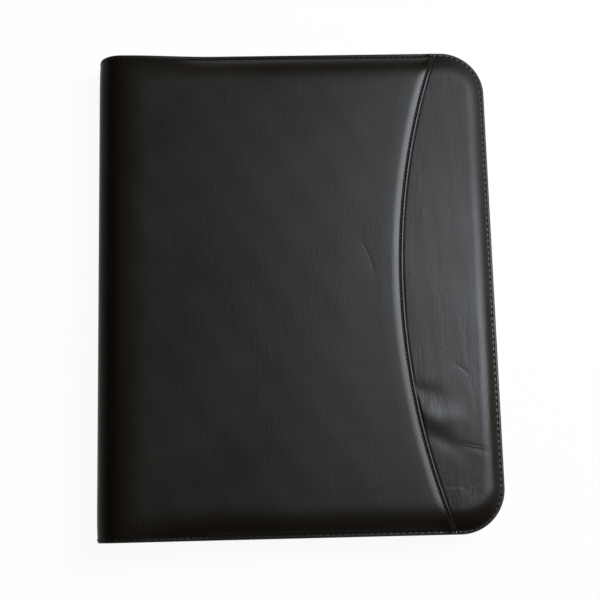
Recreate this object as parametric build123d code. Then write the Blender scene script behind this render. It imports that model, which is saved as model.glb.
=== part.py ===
from build123d import *
import os
from math import asin, degrees, pi

# A zip-round padfolio, closed and lying on its back cover.
# X runs from the spine to the fore edge, Y up the page, Z from the back cover to the front cover.
# The origin is on the table, under the middle of the closed folder. All sizes are in millimetres.

# Overall sizes of the closed folder
width = 267.0
height = 330.0
thickness = 32.0
corner_radius = 30.0

# Cover build-up, from the outside in
skin = 1.0
edge_foam = 0.7
edge_foam_from_slope = 2.7
board = 2.0
board_from_crease = 1.0
lining = 0.7
cover_depth = 7.2
layer_gap = 0.05

# Padded face of a cover: a sewn flange, a slope and a rounded shoulder
flange_width = 3.5
flange_drop = 5.2
main_slope = 6.0
edge_slope = 5.0
shoulder_radius = 9.0
rim_width = 0.9

# Curved lapped seam on the front, measured from the fore edge
seam_middle_from_edge = 61.5
seam_end_from_edge = 32.0
lip_width = 2.4
seam_slope = 7.0
seam_gap = 0.15
tongue_depth = 6.0

# Spine: its ends are hardly drawn in, so each cover's flange rises to them beside the crease
fold_gap = 0.3
spine_end_drop = 1.2
flange_rise_length = 12.0
spine_stiffener = 1.2
spine_stiffener_arc = 70.0
spine_end_margin = 13.0

# Zip: tapes stand as a wall between the covers, set in under their edges
zip_inset = 6.3
tape = 0.7
wall_clearance = 0.4
tooth_pitch = 2.6
tooth_gap = 0.2
tooth_foot_thickness = 2.4
tooth_head_thickness = 1.9
tooth_back = 3.0
tooth_reach = 0.9
stop_length = 3.2
tape_end_clearance = 1.0

# Free tail of the zip at its closed end, with its leather end tab
tail_start_from_spine = 38.0
tail_length = 25.0
tail_clearance = 0.2
tail_split = 4.0
tail_tooth_count = 5
tab_length = 7.0
tab_leather = 1.1
tab_overlap = 4.0

# Zip slider and pull
slider_length = 11.0
slider_from_tab = 0.65
slider_tip_width = 5.8
slider_nose_width = 9.6
slider_nose_length = 3.3
slider_rear_width = 8.3
slider_plate = 1.1
slider_channel = 3.0
slider_slot = 1.3
channel_side_clearance = 0.25
post_from_nose = 1.0
post_length = 3.4
post_width = 2.0
bail_from_rear = 0.8
bail_length = 7.0
bail_width = 2.4
bail_bar = 1.0
bail_opening = 1.6
pull_bar_radius = 0.6
pull_thickness = 1.2
pull_window_width = 3.4
pull_window_length = 5.0
pull_rim = 1.0
pull_tab_length = 24.0
pull_tab_width = 7.0
pull_tab_overlap = 1.0
pull_hole_radius = 1.4
pull_fit = 0.15

# Writing pad of letter size, and the sleeve that holds its backing board
pad_spine_room = 33.5
pad_fore_room = 17.5
pad_end_room = 25.5
pad_backing = 0.8
pad_stack = 5.0
pad_binding_depth = 12.0
pad_binding_tape = 0.4
sleeve_sheet = 0.6
sleeve_margin = 7.0
sleeve_height = 120.0
sleeve_hem = 2.0
bound_edge = 7.0
bound_tape = 0.5
paper_gap = 0.1

# Pen loop
pen_radius = 5.8
pen_loop_wall = 1.1
pen_loop_length = 22.0
pen_loop_above_sleeve = 6.2
pen_loop_base = 0.8
pen_loop_base_width = 9.6
pen_loop_from_pad = 2.05

# Pockets inside the front cover
pocket_sheet = 0.8
pocket_margin = 4.0
pocket_top_at_edge = 20.0
pocket_top_at_spine = 62.0
card_width = 104.0
card_height = 60.0
card_step = 17.0
card_left_from_spine = 40.0
card_base_from_bottom = 22.0
card_corner = 5.0
window_width = 94.0
window_height = 66.0
window_sheet = 0.4
window_gap = 10.0

# Levels of the front cover; the back cover is its mirror image
crown = thickness
flange_top = crown - flange_drop
skin_under = flange_top - skin
inner_face = crown - cover_depth
lining_top = inner_face + lining
board_low = lining_top + layer_gap
board_top = board_low + board
edge_crown = board_top + layer_gap + edge_foam + layer_gap + skin
lip_top = edge_crown + layer_gap + skin
middle = thickness / 2

# Places in plan
spine_radius = thickness / 2
spine_x = -width / 2
fore_x = width / 2
crease_x = spine_x + spine_radius
board_inset = zip_inset + tape + wall_clearance
board_left = crease_x + board_from_crease
rise_x = crease_x + flange_rise_length
zip_line_inset = zip_inset + tape / 2
zip_y = height / 2 - zip_line_inset
zip_x = fore_x - zip_line_inset
zip_corner = corner_radius - zip_line_inset
tooth_width = tooth_pitch / 2 - tooth_gap
tail_start = spine_x + tail_start_from_spine
tail_tape_width = inner_face - middle - tooth_back - tail_clearance
tape_end = rise_x + tape_end_clearance

# The seam is one arc through its middle and its two ends
seam_rise = seam_middle_from_edge - seam_end_from_edge
seam_radius = ((height / 2) ** 2 + seam_rise**2) / (2 * seam_rise)
seam_centre_x = fore_x - seam_middle_from_edge + seam_radius
seam_half_angle = degrees(asin(height / 2 / seam_radius)) + 2

parts = {}


def block(x, y, z):
    """A block from its low and high place along each axis."""
    size = Box(x[1] - x[0], y[1] - y[0], z[1] - z[0])
    return Pos((x[0] + x[1]) / 2, (y[0] + y[1]) / 2, (z[0] + z[1]) / 2) * size


def plate(face, low, high):
    """A face of the XY plane, raised from one level to another."""
    return extrude(Pos(0, 0, low) * face, amount=high - low)


def to_back(shape):
    """The same shape on the back cover."""
    return mirror(shape, about=Plane.XY.offset(middle))


def cover_face(inset, left):
    """Plan of a cover, drawn in from its three free edges and cut square at left."""
    right = fore_x - inset
    high = 2 * (height / 2 - inset)
    sheet = Pos(left, 0) * Rectangle(right - left, high, align=(Align.MIN, Align.CENTER))
    corners = sheet.vertices().sort_by(Axis.X)[-2:]
    return fillet(corners, corner_radius - inset)


def rounded_plate(x, y, z, radius):
    """A flat sheet with four rounded corners."""
    sheet = RectangleRounded(x[1] - x[0], y[1] - y[0], radius)
    return plate(Pos((x[0] + x[1]) / 2, (y[0] + y[1]) / 2) * sheet, *z)


def padded_rise(top, slope):
    """What stands above the sewn flange: sloped sides, a rounded shoulder and a flat crown."""
    left = crease_x - shoulder_radius
    foot = Pos(0, 0, flange_top) * cover_face(flange_width, left)
    head = Pos(0, 0, top) * cover_face(flange_width + slope, left)
    rise = loft([foot, head], ruled=True)
    rim = rise.faces().sort_by(Axis.Z)[-1].edges().sort_by(Axis.X)[1:]
    return fillet(rim, shoulder_radius)


def right_of(x):
    """Everything on the fore-edge side of a plane."""
    return block((x, width), (-height, height), (-thickness, 2 * thickness))


def cover_skin(top, slope):
    """Leather over a padded cover: flange, slope and crown, with the edge turned under as a rim."""
    rise = padded_rise(top, slope)
    left = crease_x - shoulder_radius
    flange = plate(cover_face(0, left), skin_under, flange_top)
    rim = cover_face(0, left) - cover_face(rim_width, left - 1)
    leather = flange + rise - Pos(0, 0, -skin) * rise + plate(rim, inner_face, skin_under)
    return leather & right_of(rise_x)


def leather_section(flange):
    """Section of the leather at the crease, from end to end of the folder, with its flange at a given level."""
    end = height / 2
    foot = end - flange_width
    head = foot - main_slope
    rim_low = flange - flange_top + inner_face
    outer = [(end, rim_low), (end, flange), (foot, flange), (head, crown)]
    rim = end - rim_width
    inner = [(head, crown - skin), (foot, flange - skin), (rim, flange - skin), (rim, rim_low)]
    outline = outer + [(-y, z) for y, z in reversed(outer)]
    outline += [(-y, z) for y, z in reversed(inner)] + inner
    section = make_face(Polyline(*outline, close=True))
    shoulders = section.vertices().filter_by(lambda v: abs(abs(v.X) - head) < layer_gap)
    return Plane.YZ.offset(crease_x) * fillet(shoulders, shoulder_radius)


def around_spine(section, start, end):
    """A long section turned about the spine's axis; angle 0 is the crown and 90 the back of the spine."""
    axis = Axis((crease_x, 0, middle), (0, -1, 0))
    return revolve(section.rotate(axis, start), axis, end - start)


def spine_leather(start, end):
    return around_spine(leather_section(crown - spine_end_drop), start, end)


def hinged_side(cover):
    """Leather between a padded cover and its fold line: the flange rises, then the spine's curve begins."""
    at_crease = leather_section(crown - spine_end_drop)
    at_cover = cover.faces().sort_by(Axis.X)[0]
    return loft([at_crease, at_cover], ruled=True) + spine_leather(0, 45 - gap_angle)


def spine_layer(outer, thick, half_length, start, end):
    """A plain layer inside the spine, from its outer radius inwards."""
    strip = Pos(0, middle + outer - thick / 2) * Rectangle(2 * half_length, thick)
    return around_spine(Plane.YZ.offset(crease_x) * strip, start, end)


def seam_cut(drop):
    """What the seam takes off the main panel: beyond its edge, above its lip and above its slope."""
    lip_edge = seam_radius + lip_width
    shoulder = lip_edge + seam_slope
    beyond = seam_radius - corner_radius - seam_middle_from_edge
    outline = [
        (beyond, 0),
        (seam_radius, 0),
        (seam_radius, lip_top - drop),
        (lip_edge, lip_top - drop),
        (shoulder, crown - drop),
        (shoulder + 2 * shoulder_radius, crown - drop),
        (shoulder + 2 * shoulder_radius, crown + skin),
        (beyond, crown + skin),
    ]
    section = make_face(Polyline(*[(seam_centre_x - r, z) for r, z in outline], close=True))
    corner = section.vertices().sort_by_distance((seam_centre_x - shoulder, crown - drop))[0]
    section = Plane.XZ * fillet(corner, shoulder_radius)
    axis = Axis((seam_centre_x, 0, 0), (0, 0, 1))
    return revolve(section.rotate(axis, -seam_half_angle), axis, 2 * seam_half_angle)


def seam_disc(radius):
    """Everything on the fore-edge side of an arc that runs beside the seam."""
    return Pos(seam_centre_x, 0, middle) * Cylinder(radius, 3 * thickness)


# Front cover: padded main panel, lapped over the fore-edge panel along the curved seam
gap_angle = degrees(fold_gap / 2 / spine_radius)
padded_leather = cover_skin(crown, main_slope)
front_leather = padded_leather - seam_cut(0)
main_hollow = Pos(0, 0, -skin) * padded_rise(crown, main_slope)
under_lip = (seam_cut(skin) - seam_cut(0)) & main_hollow & right_of(crease_x)
parts["front_main_panel"] = front_leather + under_lip + hinged_side(padded_leather)

tongue_end = height / 2 - flange_width - main_slope - shoulder_radius
tongue = seam_disc(seam_radius + tongue_depth) - seam_disc(seam_radius - tongue_depth)
tongue &= block((0, fore_x), (-tongue_end, tongue_end), (edge_crown - skin, edge_crown))
edge_leather = cover_skin(edge_crown, edge_slope) & seam_disc(seam_radius - seam_gap)
parts["front_edge_panel"] = edge_leather + tongue

foam_floor = board_top + layer_gap
foam_inset = flange_width + main_slope
main_foam = Pos(0, 0, -skin - layer_gap) * padded_rise(crown, main_slope)
main_foam &= plate(cover_face(foam_inset, board_left), foam_floor, crown)
main_foam -= seam_cut(skin + layer_gap)
parts["front_foam"] = main_foam - seam_disc(seam_radius + tongue_depth + fold_gap)

edge_inset = flange_width + edge_slope + edge_foam_from_slope
edge_sheet = plate(cover_face(edge_inset, 0), foam_floor, foam_floor + edge_foam)
parts["front_edge_foam"] = edge_sheet & seam_disc(seam_radius + tongue_depth)

board_face = cover_face(board_inset, board_left)
parts["front_board"] = plate(board_face, board_low, board_top)
parts["front_lining"] = plate(board_face, inner_face, lining_top)

# Back cover: one padded panel on its own board
parts["back_skin"] = to_back(padded_leather + hinged_side(padded_leather))
back_foam = Pos(0, 0, -skin - layer_gap) * padded_rise(crown, main_slope)
back_foam &= plate(cover_face(foam_inset, board_left), foam_floor, crown)
parts["back_foam"] = to_back(back_foam)
parts["back_board"] = to_back(parts["front_board"])
parts["back_lining"] = to_back(parts["front_lining"])
floor = thickness - inner_face

# Spine: half-round leather with a flexible stiffener and a lining behind it
parts["spine_skin"] = spine_leather(45 + gap_angle, 135 - gap_angle)
spine_half = height / 2 - spine_end_margin
stiffener_outer = spine_radius - skin - layer_gap
lining_outer = stiffener_outer - spine_stiffener - layer_gap
arc_start = 90 - spine_stiffener_arc / 2
arc_end = 90 + spine_stiffener_arc / 2
stiffener = spine_layer(stiffener_outer, spine_stiffener, spine_half, arc_start, arc_end)
parts["spine_stiffener"] = stiffener
parts["spine_lining"] = spine_layer(lining_outer, lining, spine_half, arc_start, arc_end)


# Zip tapes: a flange sewn under the leather and a wall that stands towards the other cover
def zip_tape():
    flange = cover_face(rim_width + layer_gap, tape_end) - cover_face(zip_inset + tape, tape_end - 1)
    wall = cover_face(zip_inset, tape_end) - cover_face(zip_inset + tape, tape_end - 1)
    cloth = plate(flange, skin_under - tape, skin_under)
    cloth += plate(wall, middle + tooth_back, skin_under - tape)
    beside_tail = block((spine_x, tail_start), (-height, 0), (0, thickness))
    return cloth - beside_tail


parts["zip_tape_front"] = zip_tape()
parts["zip_tape_back"] = to_back(zip_tape())


def zip_point(distance):
    """Place and heading on the zip line: from the tail along the bottom, up the side and back along the top."""
    along = fore_x - corner_radius - tail_start
    side = height - 2 * corner_radius
    turn = zip_corner * pi / 2
    if distance < along:
        return tail_start + distance, -zip_y, 0
    distance -= along
    if distance < turn:
        swing = degrees(distance / zip_corner)
        place = Vector(0, -zip_corner).rotate(Axis.Z, swing)
        return fore_x - corner_radius + place.X, -side / 2 + place.Y, swing
    distance -= turn
    if distance < side:
        return zip_x, distance - side / 2, 90
    distance -= side
    if distance < turn:
        swing = degrees(distance / zip_corner)
        place = Vector(zip_corner, 0).rotate(Axis.Z, swing)
        return fore_x - corner_radius + place.X, side / 2 + place.Y, 90 + swing
    return fore_x - corner_radius - (distance - turn), zip_y, 180


def tooth(up):
    """One tooth, square to the chain: a wide foot on the tape's edge and a narrower head past the middle."""
    foot, head = tooth_foot_thickness / 2, tooth_head_thickness / 2
    outline = [(-foot, -tooth_back), (foot, -tooth_back), (head, tooth_reach), (-head, tooth_reach)]
    section = make_face(Polyline(*[(n, up * z) for n, z in outline], close=True))
    return extrude(Plane.YZ * section, amount=tooth_width / 2, both=True)


def place_teeth(piece, places):
    return [Pos(x, y, middle) * Rot(0, 0, turn) * piece for x, y, turn in places]


along_top = fore_x - corner_radius - tape_end
along_bottom = fore_x - corner_radius - tail_start
zip_length = along_top + along_bottom + pi * zip_corner + height - 2 * corner_radius
tooth_count = int((zip_length - stop_length) / tooth_pitch) - 1
back_places = [zip_point((i + 0.25) * tooth_pitch) for i in range(tooth_count)]
front_places = [zip_point((i + 0.75) * tooth_pitch) for i in range(tooth_count)]
parts["zip_teeth_back"] = Compound(place_teeth(tooth(1), back_places))
parts["zip_teeth_front"] = Compound(place_teeth(tooth(-1), front_places))


def end_stop(up):
    """Block that closes a row of teeth at the far end of the zip."""
    half = tooth_foot_thickness / 2
    levels = sorted((middle - up * tooth_back, middle - up * tooth_reach / 2))
    places = (tape_end, tape_end + stop_length)
    return block(places, (zip_y - half, zip_y + half), levels)


parts["zip_stop_back"] = end_stop(1)
parts["zip_stop_front"] = end_stop(-1)


# Tail: the last stretch of both tapes, closed by its own teeth and a folded leather tab.
# Its upper tape stops short of the front tape, which swings past it as the covers open.
tail_tip = tail_start - tail_length
half_tape = tape / 2
tail_y = (-zip_y - half_tape, -zip_y + half_tape)
lower_levels = (middle - tooth_back - tail_tape_width, middle - tooth_back)
upper_levels = (middle + tooth_back, middle + tooth_back + tail_tape_width)
lower_tape = block((tail_tip, tail_start), tail_y, lower_levels)
upper_tape = block((tail_tip, tail_start - tail_split), tail_y, upper_levels)
parts["zip_tail_tape"] = Compound([lower_tape, upper_tape])
tail_places = [tail_start - (i + 1) * tooth_pitch for i in range(tail_tooth_count)]
tail_teeth = place_teeth(tooth(1), [(x + 0.25 * tooth_pitch, -zip_y, 0) for x in tail_places])
tail_teeth += place_teeth(tooth(-1), [(x + 0.75 * tooth_pitch, -zip_y, 0) for x in tail_places])
parts["zip_tail_teeth"] = Compound(tail_teeth)

tab_half_height = tooth_back + tail_tape_width
tab_half = half_tape + layer_gap + tab_leather
tab_x = (tail_tip + tab_overlap - tab_length, tail_tip + tab_overlap)
tab_y = (-zip_y - tab_half, -zip_y + tab_half)
tab = block(tab_x, tab_y, (middle - tab_half_height, middle + tab_half_height))
fold_edges = tab.edges().filter_by(Axis.Z).sort_by(Axis.X)[:2]
tab = fillet(fold_edges, tab_half * 0.8)
tab_slot = half_tape + layer_gap
slot_height = tab_half_height + 1
tab -= block(
    (tail_tip - layer_gap, tab_x[1] + 1),
    (-zip_y - tab_slot, -zip_y + tab_slot),
    (middle - slot_height, middle + slot_height),
)
parts["zip_end_tab"] = tab


# Slider: two plates round the chain, joined by a post at the nose, with a bail for the pull
slider_nose = tail_tip + tab_overlap + slider_from_tab
slider_rear = slider_nose + slider_length
slider_depth = slider_channel / 2 + slider_plate
tip_half, nose_half, rear_half = slider_tip_width / 2, slider_nose_width / 2, slider_rear_width / 2
slider_widest = slider_nose + slider_nose_length


def slider_half(side):
    """One plate with its two side flanges, on the outer or inner side of the zip wall."""
    outline = [
        (slider_nose, middle - tip_half),
        (slider_widest, middle - nose_half),
        (slider_rear, middle - rear_half),
        (slider_rear, middle + rear_half),
        (slider_widest, middle + nose_half),
        (slider_nose, middle + tip_half),
    ]
    shield = make_face(Polyline(*outline, close=True))
    shield = fillet(shield.vertices(), slider_plate)
    channel_rear = tooth_back + channel_side_clearance
    channel_nose = channel_rear + (slider_nose_width - slider_rear_width) / 2
    passage = make_face(
        Polyline(
            (slider_nose - 1, middle - channel_nose),
            (slider_rear + 1, middle - channel_rear),
            (slider_rear + 1, middle + channel_rear),
            (slider_nose - 1, middle + channel_nose),
            close=True,
        )
    )
    wall = Plane.XZ.offset(zip_y + side * slider_slot / 2)
    lip_depth = (slider_channel - slider_slot) / 2
    half = extrude(wall * shield, amount=side * (lip_depth + slider_plate))
    return half - extrude(wall * passage, amount=side * lip_depth)


post_x = slider_nose + post_from_nose
post = block(
    (post_x, post_x + post_length),
    (-zip_y - slider_depth, -zip_y + slider_depth),
    (middle - post_width / 2, middle + post_width / 2),
)
post = fillet(post.edges().filter_by(Axis.Y), post_width * 0.45)
outer_plate_y = -zip_y - slider_depth
bail_rear = slider_rear - bail_from_rear
bail_x = (bail_rear - bail_length, bail_rear)
bail_height = bail_opening + bail_bar
bail = block(
    bail_x,
    (outer_plate_y - bail_height, outer_plate_y + slider_plate / 2),
    (middle - bail_width / 2, middle + bail_width / 2),
)
bail_bend = bail.edges().filter_by(Axis.Z).group_by(Axis.Y)[0]
bail = fillet(bail_bend, bail_bar * 0.9)
bail -= block(
    (bail_x[0] + bail_bar, bail_x[1] - bail_bar),
    (outer_plate_y - bail_opening, outer_plate_y),
    (middle - bail_width, middle + bail_width),
)
parts["zip_slider"] = slider_half(1) + slider_half(-1) + post + bail

# Pull: a round bar under the bail, a loop round it and a long tab that lies along the chain
pull_x = bail_x[1] - bail_bar - pull_fit - pull_bar_radius
pull_y = outer_plate_y - pull_fit - pull_bar_radius
window_end = pull_x + pull_window_length
loop_half = pull_window_width / 2 + pull_rim
loop = RectangleRounded(pull_window_length + 2 * pull_rim, 2 * loop_half, pull_rim)
loop_middle = pull_x + pull_window_length / 2
tab_middle = window_end + pull_rim + pull_tab_length / 2 - pull_tab_overlap
handle = SlotOverall(pull_tab_length, pull_tab_width)
pull_face = Pos(loop_middle, middle) * loop + Pos(tab_middle, middle) * handle
pull_face -= Pos(loop_middle, middle) * Rectangle(pull_window_length, pull_window_width)
pull_face -= Pos(tab_middle + pull_tab_length / 2 - pull_tab_width / 2, middle) * Circle(pull_hole_radius)
pull = extrude(Plane.XZ.offset(-pull_y) * pull_face, amount=pull_thickness / 2, both=True)
eye_end = block((pull_x - 2 * pull_rim, pull_x), (-height, 0), (0, thickness))
bar = Pos(pull_x, pull_y, middle) * Cylinder(pull_bar_radius, 2 * loop_half)
parts["zip_pull"] = pull - eye_end + bar


# Writing pad: its backing board goes down into the sleeve, its sheets lie over the sleeve
pad_left = spine_x + pad_spine_room
pad_right = fore_x - pad_fore_room
pad_top = height / 2 - pad_end_room
backing_low = floor + paper_gap
backing_top = backing_low + pad_backing
sleeve_low = backing_top + paper_gap
sleeve_top = sleeve_low + sleeve_sheet
stack_low = sleeve_top + bound_tape + paper_gap
stack_top = stack_low + pad_stack
pad_span = (pad_left, pad_right)
parts["pad_backing_board"] = block(pad_span, (-pad_top, pad_top), (backing_low, backing_top))
parts["pad_sheets"] = block(pad_span, (-pad_top, pad_top), (stack_low, stack_top))
binding_end = pad_top + pad_binding_tape
binding = block(pad_span, (pad_top, binding_end), (backing_low, stack_top))
binding += block(
    pad_span, (pad_top - pad_binding_depth, binding_end), (stack_top, stack_top + pad_binding_tape)
)
parts["pad_binding"] = binding

sleeve_x = (pad_left - sleeve_margin, pad_right + sleeve_margin)
sleeve_bottom = -height / 2 + board_inset + wall_clearance
sleeve_mouth = sleeve_bottom + sleeve_height
sleeve = block(sleeve_x, (sleeve_bottom, sleeve_mouth), (floor, sleeve_top))
sleeve -= block(
    (sleeve_x[0] + sleeve_hem, sleeve_x[1] - sleeve_hem),
    (sleeve_bottom + sleeve_hem, sleeve_mouth + 1),
    (floor - 1, sleeve_low),
)
inner_plan = cover_face(board_inset + wall_clearance, board_left)
parts["pad_sleeve"] = sleeve & plate(inner_plan, floor, sleeve_top)
parts["pad_sleeve_binding"] = block(
    sleeve_x, (sleeve_mouth - bound_edge, sleeve_mouth), (sleeve_top, sleeve_top + bound_tape)
)

# Pen loop: an elastic ring sewn to the lining between the spine and the pad
loop_outer = pen_radius + pen_loop_wall
pen_x = pad_left - pen_loop_from_pad - loop_outer
pen_z = floor + loop_outer
ring = Circle(loop_outer) - Circle(pen_radius)
base = Pos(0, -loop_outer + pen_loop_base / 2) * Rectangle(pen_loop_base_width, pen_loop_base)
loop_section = ring + (base - Circle(pen_radius))
pen_y = sleeve_mouth + pen_loop_above_sleeve + pen_loop_length / 2
pen_plane = Plane.XZ.offset(-pen_y)
loop_place = Pos(pen_x, pen_z) * loop_section
parts["pen_loop"] = extrude(pen_plane * loop_place, amount=pen_loop_length / 2, both=True)

# Pockets sewn to the lining of the front cover
pocket_x = (crease_x + pocket_margin + fold_gap, fore_x - board_inset - pocket_margin)
pocket_bottom = -height / 2 + board_inset + wall_clearance
pocket_top = inner_face - paper_gap
pocket_low = pocket_top - pocket_sheet


def pocket_outline(bottom_at_spine, bottom_at_edge):
    """Band under the pocket's sloping mouth, from its lower corners up to the mouth."""
    return make_face(
        Polyline(
            (pocket_x[0], bottom_at_spine),
            (pocket_x[1], bottom_at_edge),
            (pocket_x[1], pocket_top_at_edge),
            (pocket_x[0], pocket_top_at_spine),
            close=True,
        )
    )


pocket_face = pocket_outline(pocket_bottom, pocket_bottom) & inner_plan
parts["document_pocket"] = plate(pocket_face, pocket_low, pocket_top)
mouth = pocket_outline(pocket_top_at_spine - bound_edge, pocket_top_at_edge - bound_edge)
parts["document_pocket_binding"] = plate(mouth, pocket_low - bound_tape, pocket_low)

card_left = spine_x + card_left_from_spine
card_x = (card_left, card_left + card_width)
card_base = pocket_bottom + card_base_from_bottom
card_level = pocket_low
for i, name in enumerate(("card_slot_rear", "card_slot_middle", "card_slot_front")):
    card_high = card_base + card_height + (2 - i) * card_step
    levels = (card_level - pocket_sheet, card_level)
    parts[name] = rounded_plate(card_x, (card_base, card_high), levels, card_corner)
    card_level -= pocket_sheet
window_x = (card_x[1] + window_gap, card_x[1] + window_gap + window_width)
window_y = (card_base, card_base + window_height)
window_levels = (pocket_low - window_sheet, pocket_low)
parts["id_window"] = rounded_plate(window_x, window_y, window_levels, card_corner)

os.makedirs("parts", exist_ok=True)
for name, shape in parts.items():
    export_step(shape, f"parts/{name}.step")
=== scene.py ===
import bmesh
import bpy
import numpy as np
from mathutils import Matrix


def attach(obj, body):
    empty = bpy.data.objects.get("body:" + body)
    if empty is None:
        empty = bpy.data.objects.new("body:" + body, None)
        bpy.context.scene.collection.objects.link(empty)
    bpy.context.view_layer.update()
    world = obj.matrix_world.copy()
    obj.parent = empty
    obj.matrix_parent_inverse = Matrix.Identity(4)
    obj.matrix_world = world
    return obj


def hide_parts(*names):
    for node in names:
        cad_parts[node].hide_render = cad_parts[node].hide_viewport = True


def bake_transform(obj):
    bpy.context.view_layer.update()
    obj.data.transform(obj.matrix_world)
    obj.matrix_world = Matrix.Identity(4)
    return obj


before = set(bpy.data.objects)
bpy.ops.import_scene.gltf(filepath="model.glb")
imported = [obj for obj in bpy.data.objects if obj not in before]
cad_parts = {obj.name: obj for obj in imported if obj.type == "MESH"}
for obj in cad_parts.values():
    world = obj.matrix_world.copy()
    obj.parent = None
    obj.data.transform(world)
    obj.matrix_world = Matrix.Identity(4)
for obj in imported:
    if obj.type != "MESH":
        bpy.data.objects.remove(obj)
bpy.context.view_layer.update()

# A zip-round padfolio lying closed on its back cover. X runs from the spine to the fore edge,
# Y up the page and Z from the back cover to the front. Sizes are in millimetres until a mesh is made.
MM = 0.001
half_height = 165.0
fore_x = 133.5
thickness = 32.0
middle = thickness / 2
corner_radius = 30.0
corner_y = half_height - corner_radius
spine_radius = thickness / 2
crease_x = -fore_x + spine_radius
quarter = spine_radius * np.pi / 2
straight_run = quarter + fore_x - corner_radius - crease_x

# Padded leather
flange_width = 3.0
flange_drop = 5.2
flange_top = thickness - flange_drop
spine_end_drop = 0.4
flange_rise_length = 65.0
main_shoulder = 22.0
edge_crown = 29.9
edge_drop = edge_crown - flange_top
edge_shoulder = 10.5
edge_end_shoulder = 14.0
edge_bow = 0.3
fore_flange_drop = 0.6
rim_reach = 1.6
rim_round = 0.8
rim_depth = 2.0
rim_end_drop = 1.2
rim_rise_length = 12.0
stitch_inset = 2.15
stitch_pitch = 4.1
stitch_length = 2.3
stitch_radius = 0.5

# Closely spaced rows along the edges; how far in the edge is paled, partly from rubbing and partly as a
# painted highlight; and how far in the leather is darkened as painted shade and made glossier
close_rows = 15.0
wear_highlight_width = 0.9
shade_gloss_width = 20.0

# Curved seam between the main panel and the fore-edge panel
seam_middle_from_edge = 61.5
seam_end_from_edge = 32.0
seam_rise = seam_middle_from_edge - seam_end_from_edge
seam_radius = (half_height**2 + seam_rise**2) / (2 * seam_rise)
seam_centre_x = fore_x - seam_middle_from_edge + seam_radius
lip_width = 2.6
lip_radius = 0.4
lip_round = 0.22
seam_roll = 5.5
seam_roll_drop = 0.8
seam_fall = 14.0
seam_fall_drop = 0.3
seam_stitch = 2.0
seam_stitch_pitch = 3.0
seam_stitch_length = 2.2
seam_stitch_radius = 0.36
seam_end_gap = 4.0
seam_groove = 0.5
seam_groove_depth = 0.55
tuck = 3.0

# Boards, foam and linings
inner_face = 24.8
lining_thickness = 0.7
board_inset = 7.4
board_top = 27.62
leather_skin = 1.15
foam_inset = 9.6
spine_gap = 1.0
main_seam_gap = 7.0
edge_seam_gap = 5.0
edge_fore_gap = 12
edge_end_gap = 14
edge_foam_top = 28.2
edge_foam_fall = 0.4
lining_crease_x = -116.4
lining_half_wide = 14.0
lining_half_high = 8.8
lining_end_radius = 12.9
lining_end_rise = 4.1
lining_end_reach = 6.45

# Pockets, writing pad and pen loop
pocket_left = -113.2
pocket_right = 122.1
pocket_foot = -157.2
mouth_left_y = 62.0
mouth_right_y = 20.0
pocket_under = 23.9
slot_foot = -135.2
sheet_corner = 5.0
sleeve_x = (-107.0, 123.0)
sleeve_mouth = -37.2
binding_width = 7.0
pad_x = (-100.0, 116.0)
pad_low = 9.4
pad_top = 14.4
loop_radius = 6.35
loop_half = 0.55

# Zip
zip_inset = 6.65
zip_y = zip_inset - half_height
tooth_pitch = 2.6
tooth_count = 286
tail_start = -95.5
tail_count = 5
tail_tip = -120.5
tape_end = -104.5
cord_radius = 0.6

# Angles in degrees past which an edge stays sharp, on soft and on hard pieces
soft_fold = 50
hard_fold = 40


def ease(t):
    """Smooth step: zero before 0, one after 1 and level at both ends."""
    t = np.clip(t, 0, 1)
    return t * t * (3 - 2 * t)


def ripple(x, y, waves):
    """Sum of sine waves over the plane, each with its height, length, direction in degrees and start."""
    total = np.zeros(np.broadcast(x, y).shape)
    for height, length, direction, start in waves:
        turn = np.radians(direction)
        total += height * np.sin(2 * np.pi * (x * np.cos(turn) + y * np.sin(turn)) / length + start)
    return total


def dents(x, y, marks):
    """Sum of long bell curves: each one's middle, half length, half width, turn in degrees and height."""
    total = np.zeros(np.broadcast(x, y).shape)
    for mid_x, mid_y, long, wide, turn, height in marks:
        turn = np.radians(turn)
        along = (x - mid_x) * np.cos(turn) + (y - mid_y) * np.sin(turn)
        aside = (y - mid_y) * np.cos(turn) - (x - mid_x) * np.sin(turn)
        total += height * np.exp(-((along / long) ** 2) - (aside / wide) ** 2)
    return total


def stacked(*parts):
    """Coordinates brought to one shape and laid side by side as points."""
    return np.stack(np.broadcast_arrays(*parts), axis=-1)


def lattice(rows, columns, loop=False):
    """Quads between neighbouring rows and columns of a grid, facing along row cross column direction."""
    index = np.arange(rows * columns).reshape(rows, columns)
    if loop:
        index = np.column_stack([index, index[:, :1]])
    corners = [index[:-1, :-1], index[1:, :-1], index[1:, 1:], index[:-1, 1:]]
    return np.stack(corners, axis=-1).reshape(-1, 4)


def grid_shape(points, loop=False):
    """A grid of points as a shape: its points in one list, and its faces."""
    return points.reshape(-1, 3), lattice(points.shape[0], points.shape[1], loop).tolist()


def tube_shape(points):
    """Rings of points joined into a closed tube, with a face over the first ring and one over the last."""
    rings, around = points.shape[:2]
    flat, faces = grid_shape(points, loop=True)
    last = (rings - 1) * around
    caps = [list(range(around)), list(range(last + around - 1, last - 1, -1))]
    return flat, faces + caps


def slab_shape(top, low):
    """Two grids of points, one over the other, closed round their four sides into one thick sheet."""
    rows, columns = top.shape[:2]
    index = np.arange(rows * columns).reshape(rows, columns)
    rim = np.concatenate([index[:-1, 0], index[-1, :-1], index[:0:-1, -1], index[0, :0:-1]])
    onward = np.roll(rim, -1)
    under = rows * columns
    walls = stacked(rim, rim + under, onward + under, onward)
    faces = lattice(rows, columns)
    points = np.concatenate([top.reshape(-1, 3), low.reshape(-1, 3)])
    return points, np.concatenate([faces, faces[:, ::-1] + under, walls]).tolist()


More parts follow.
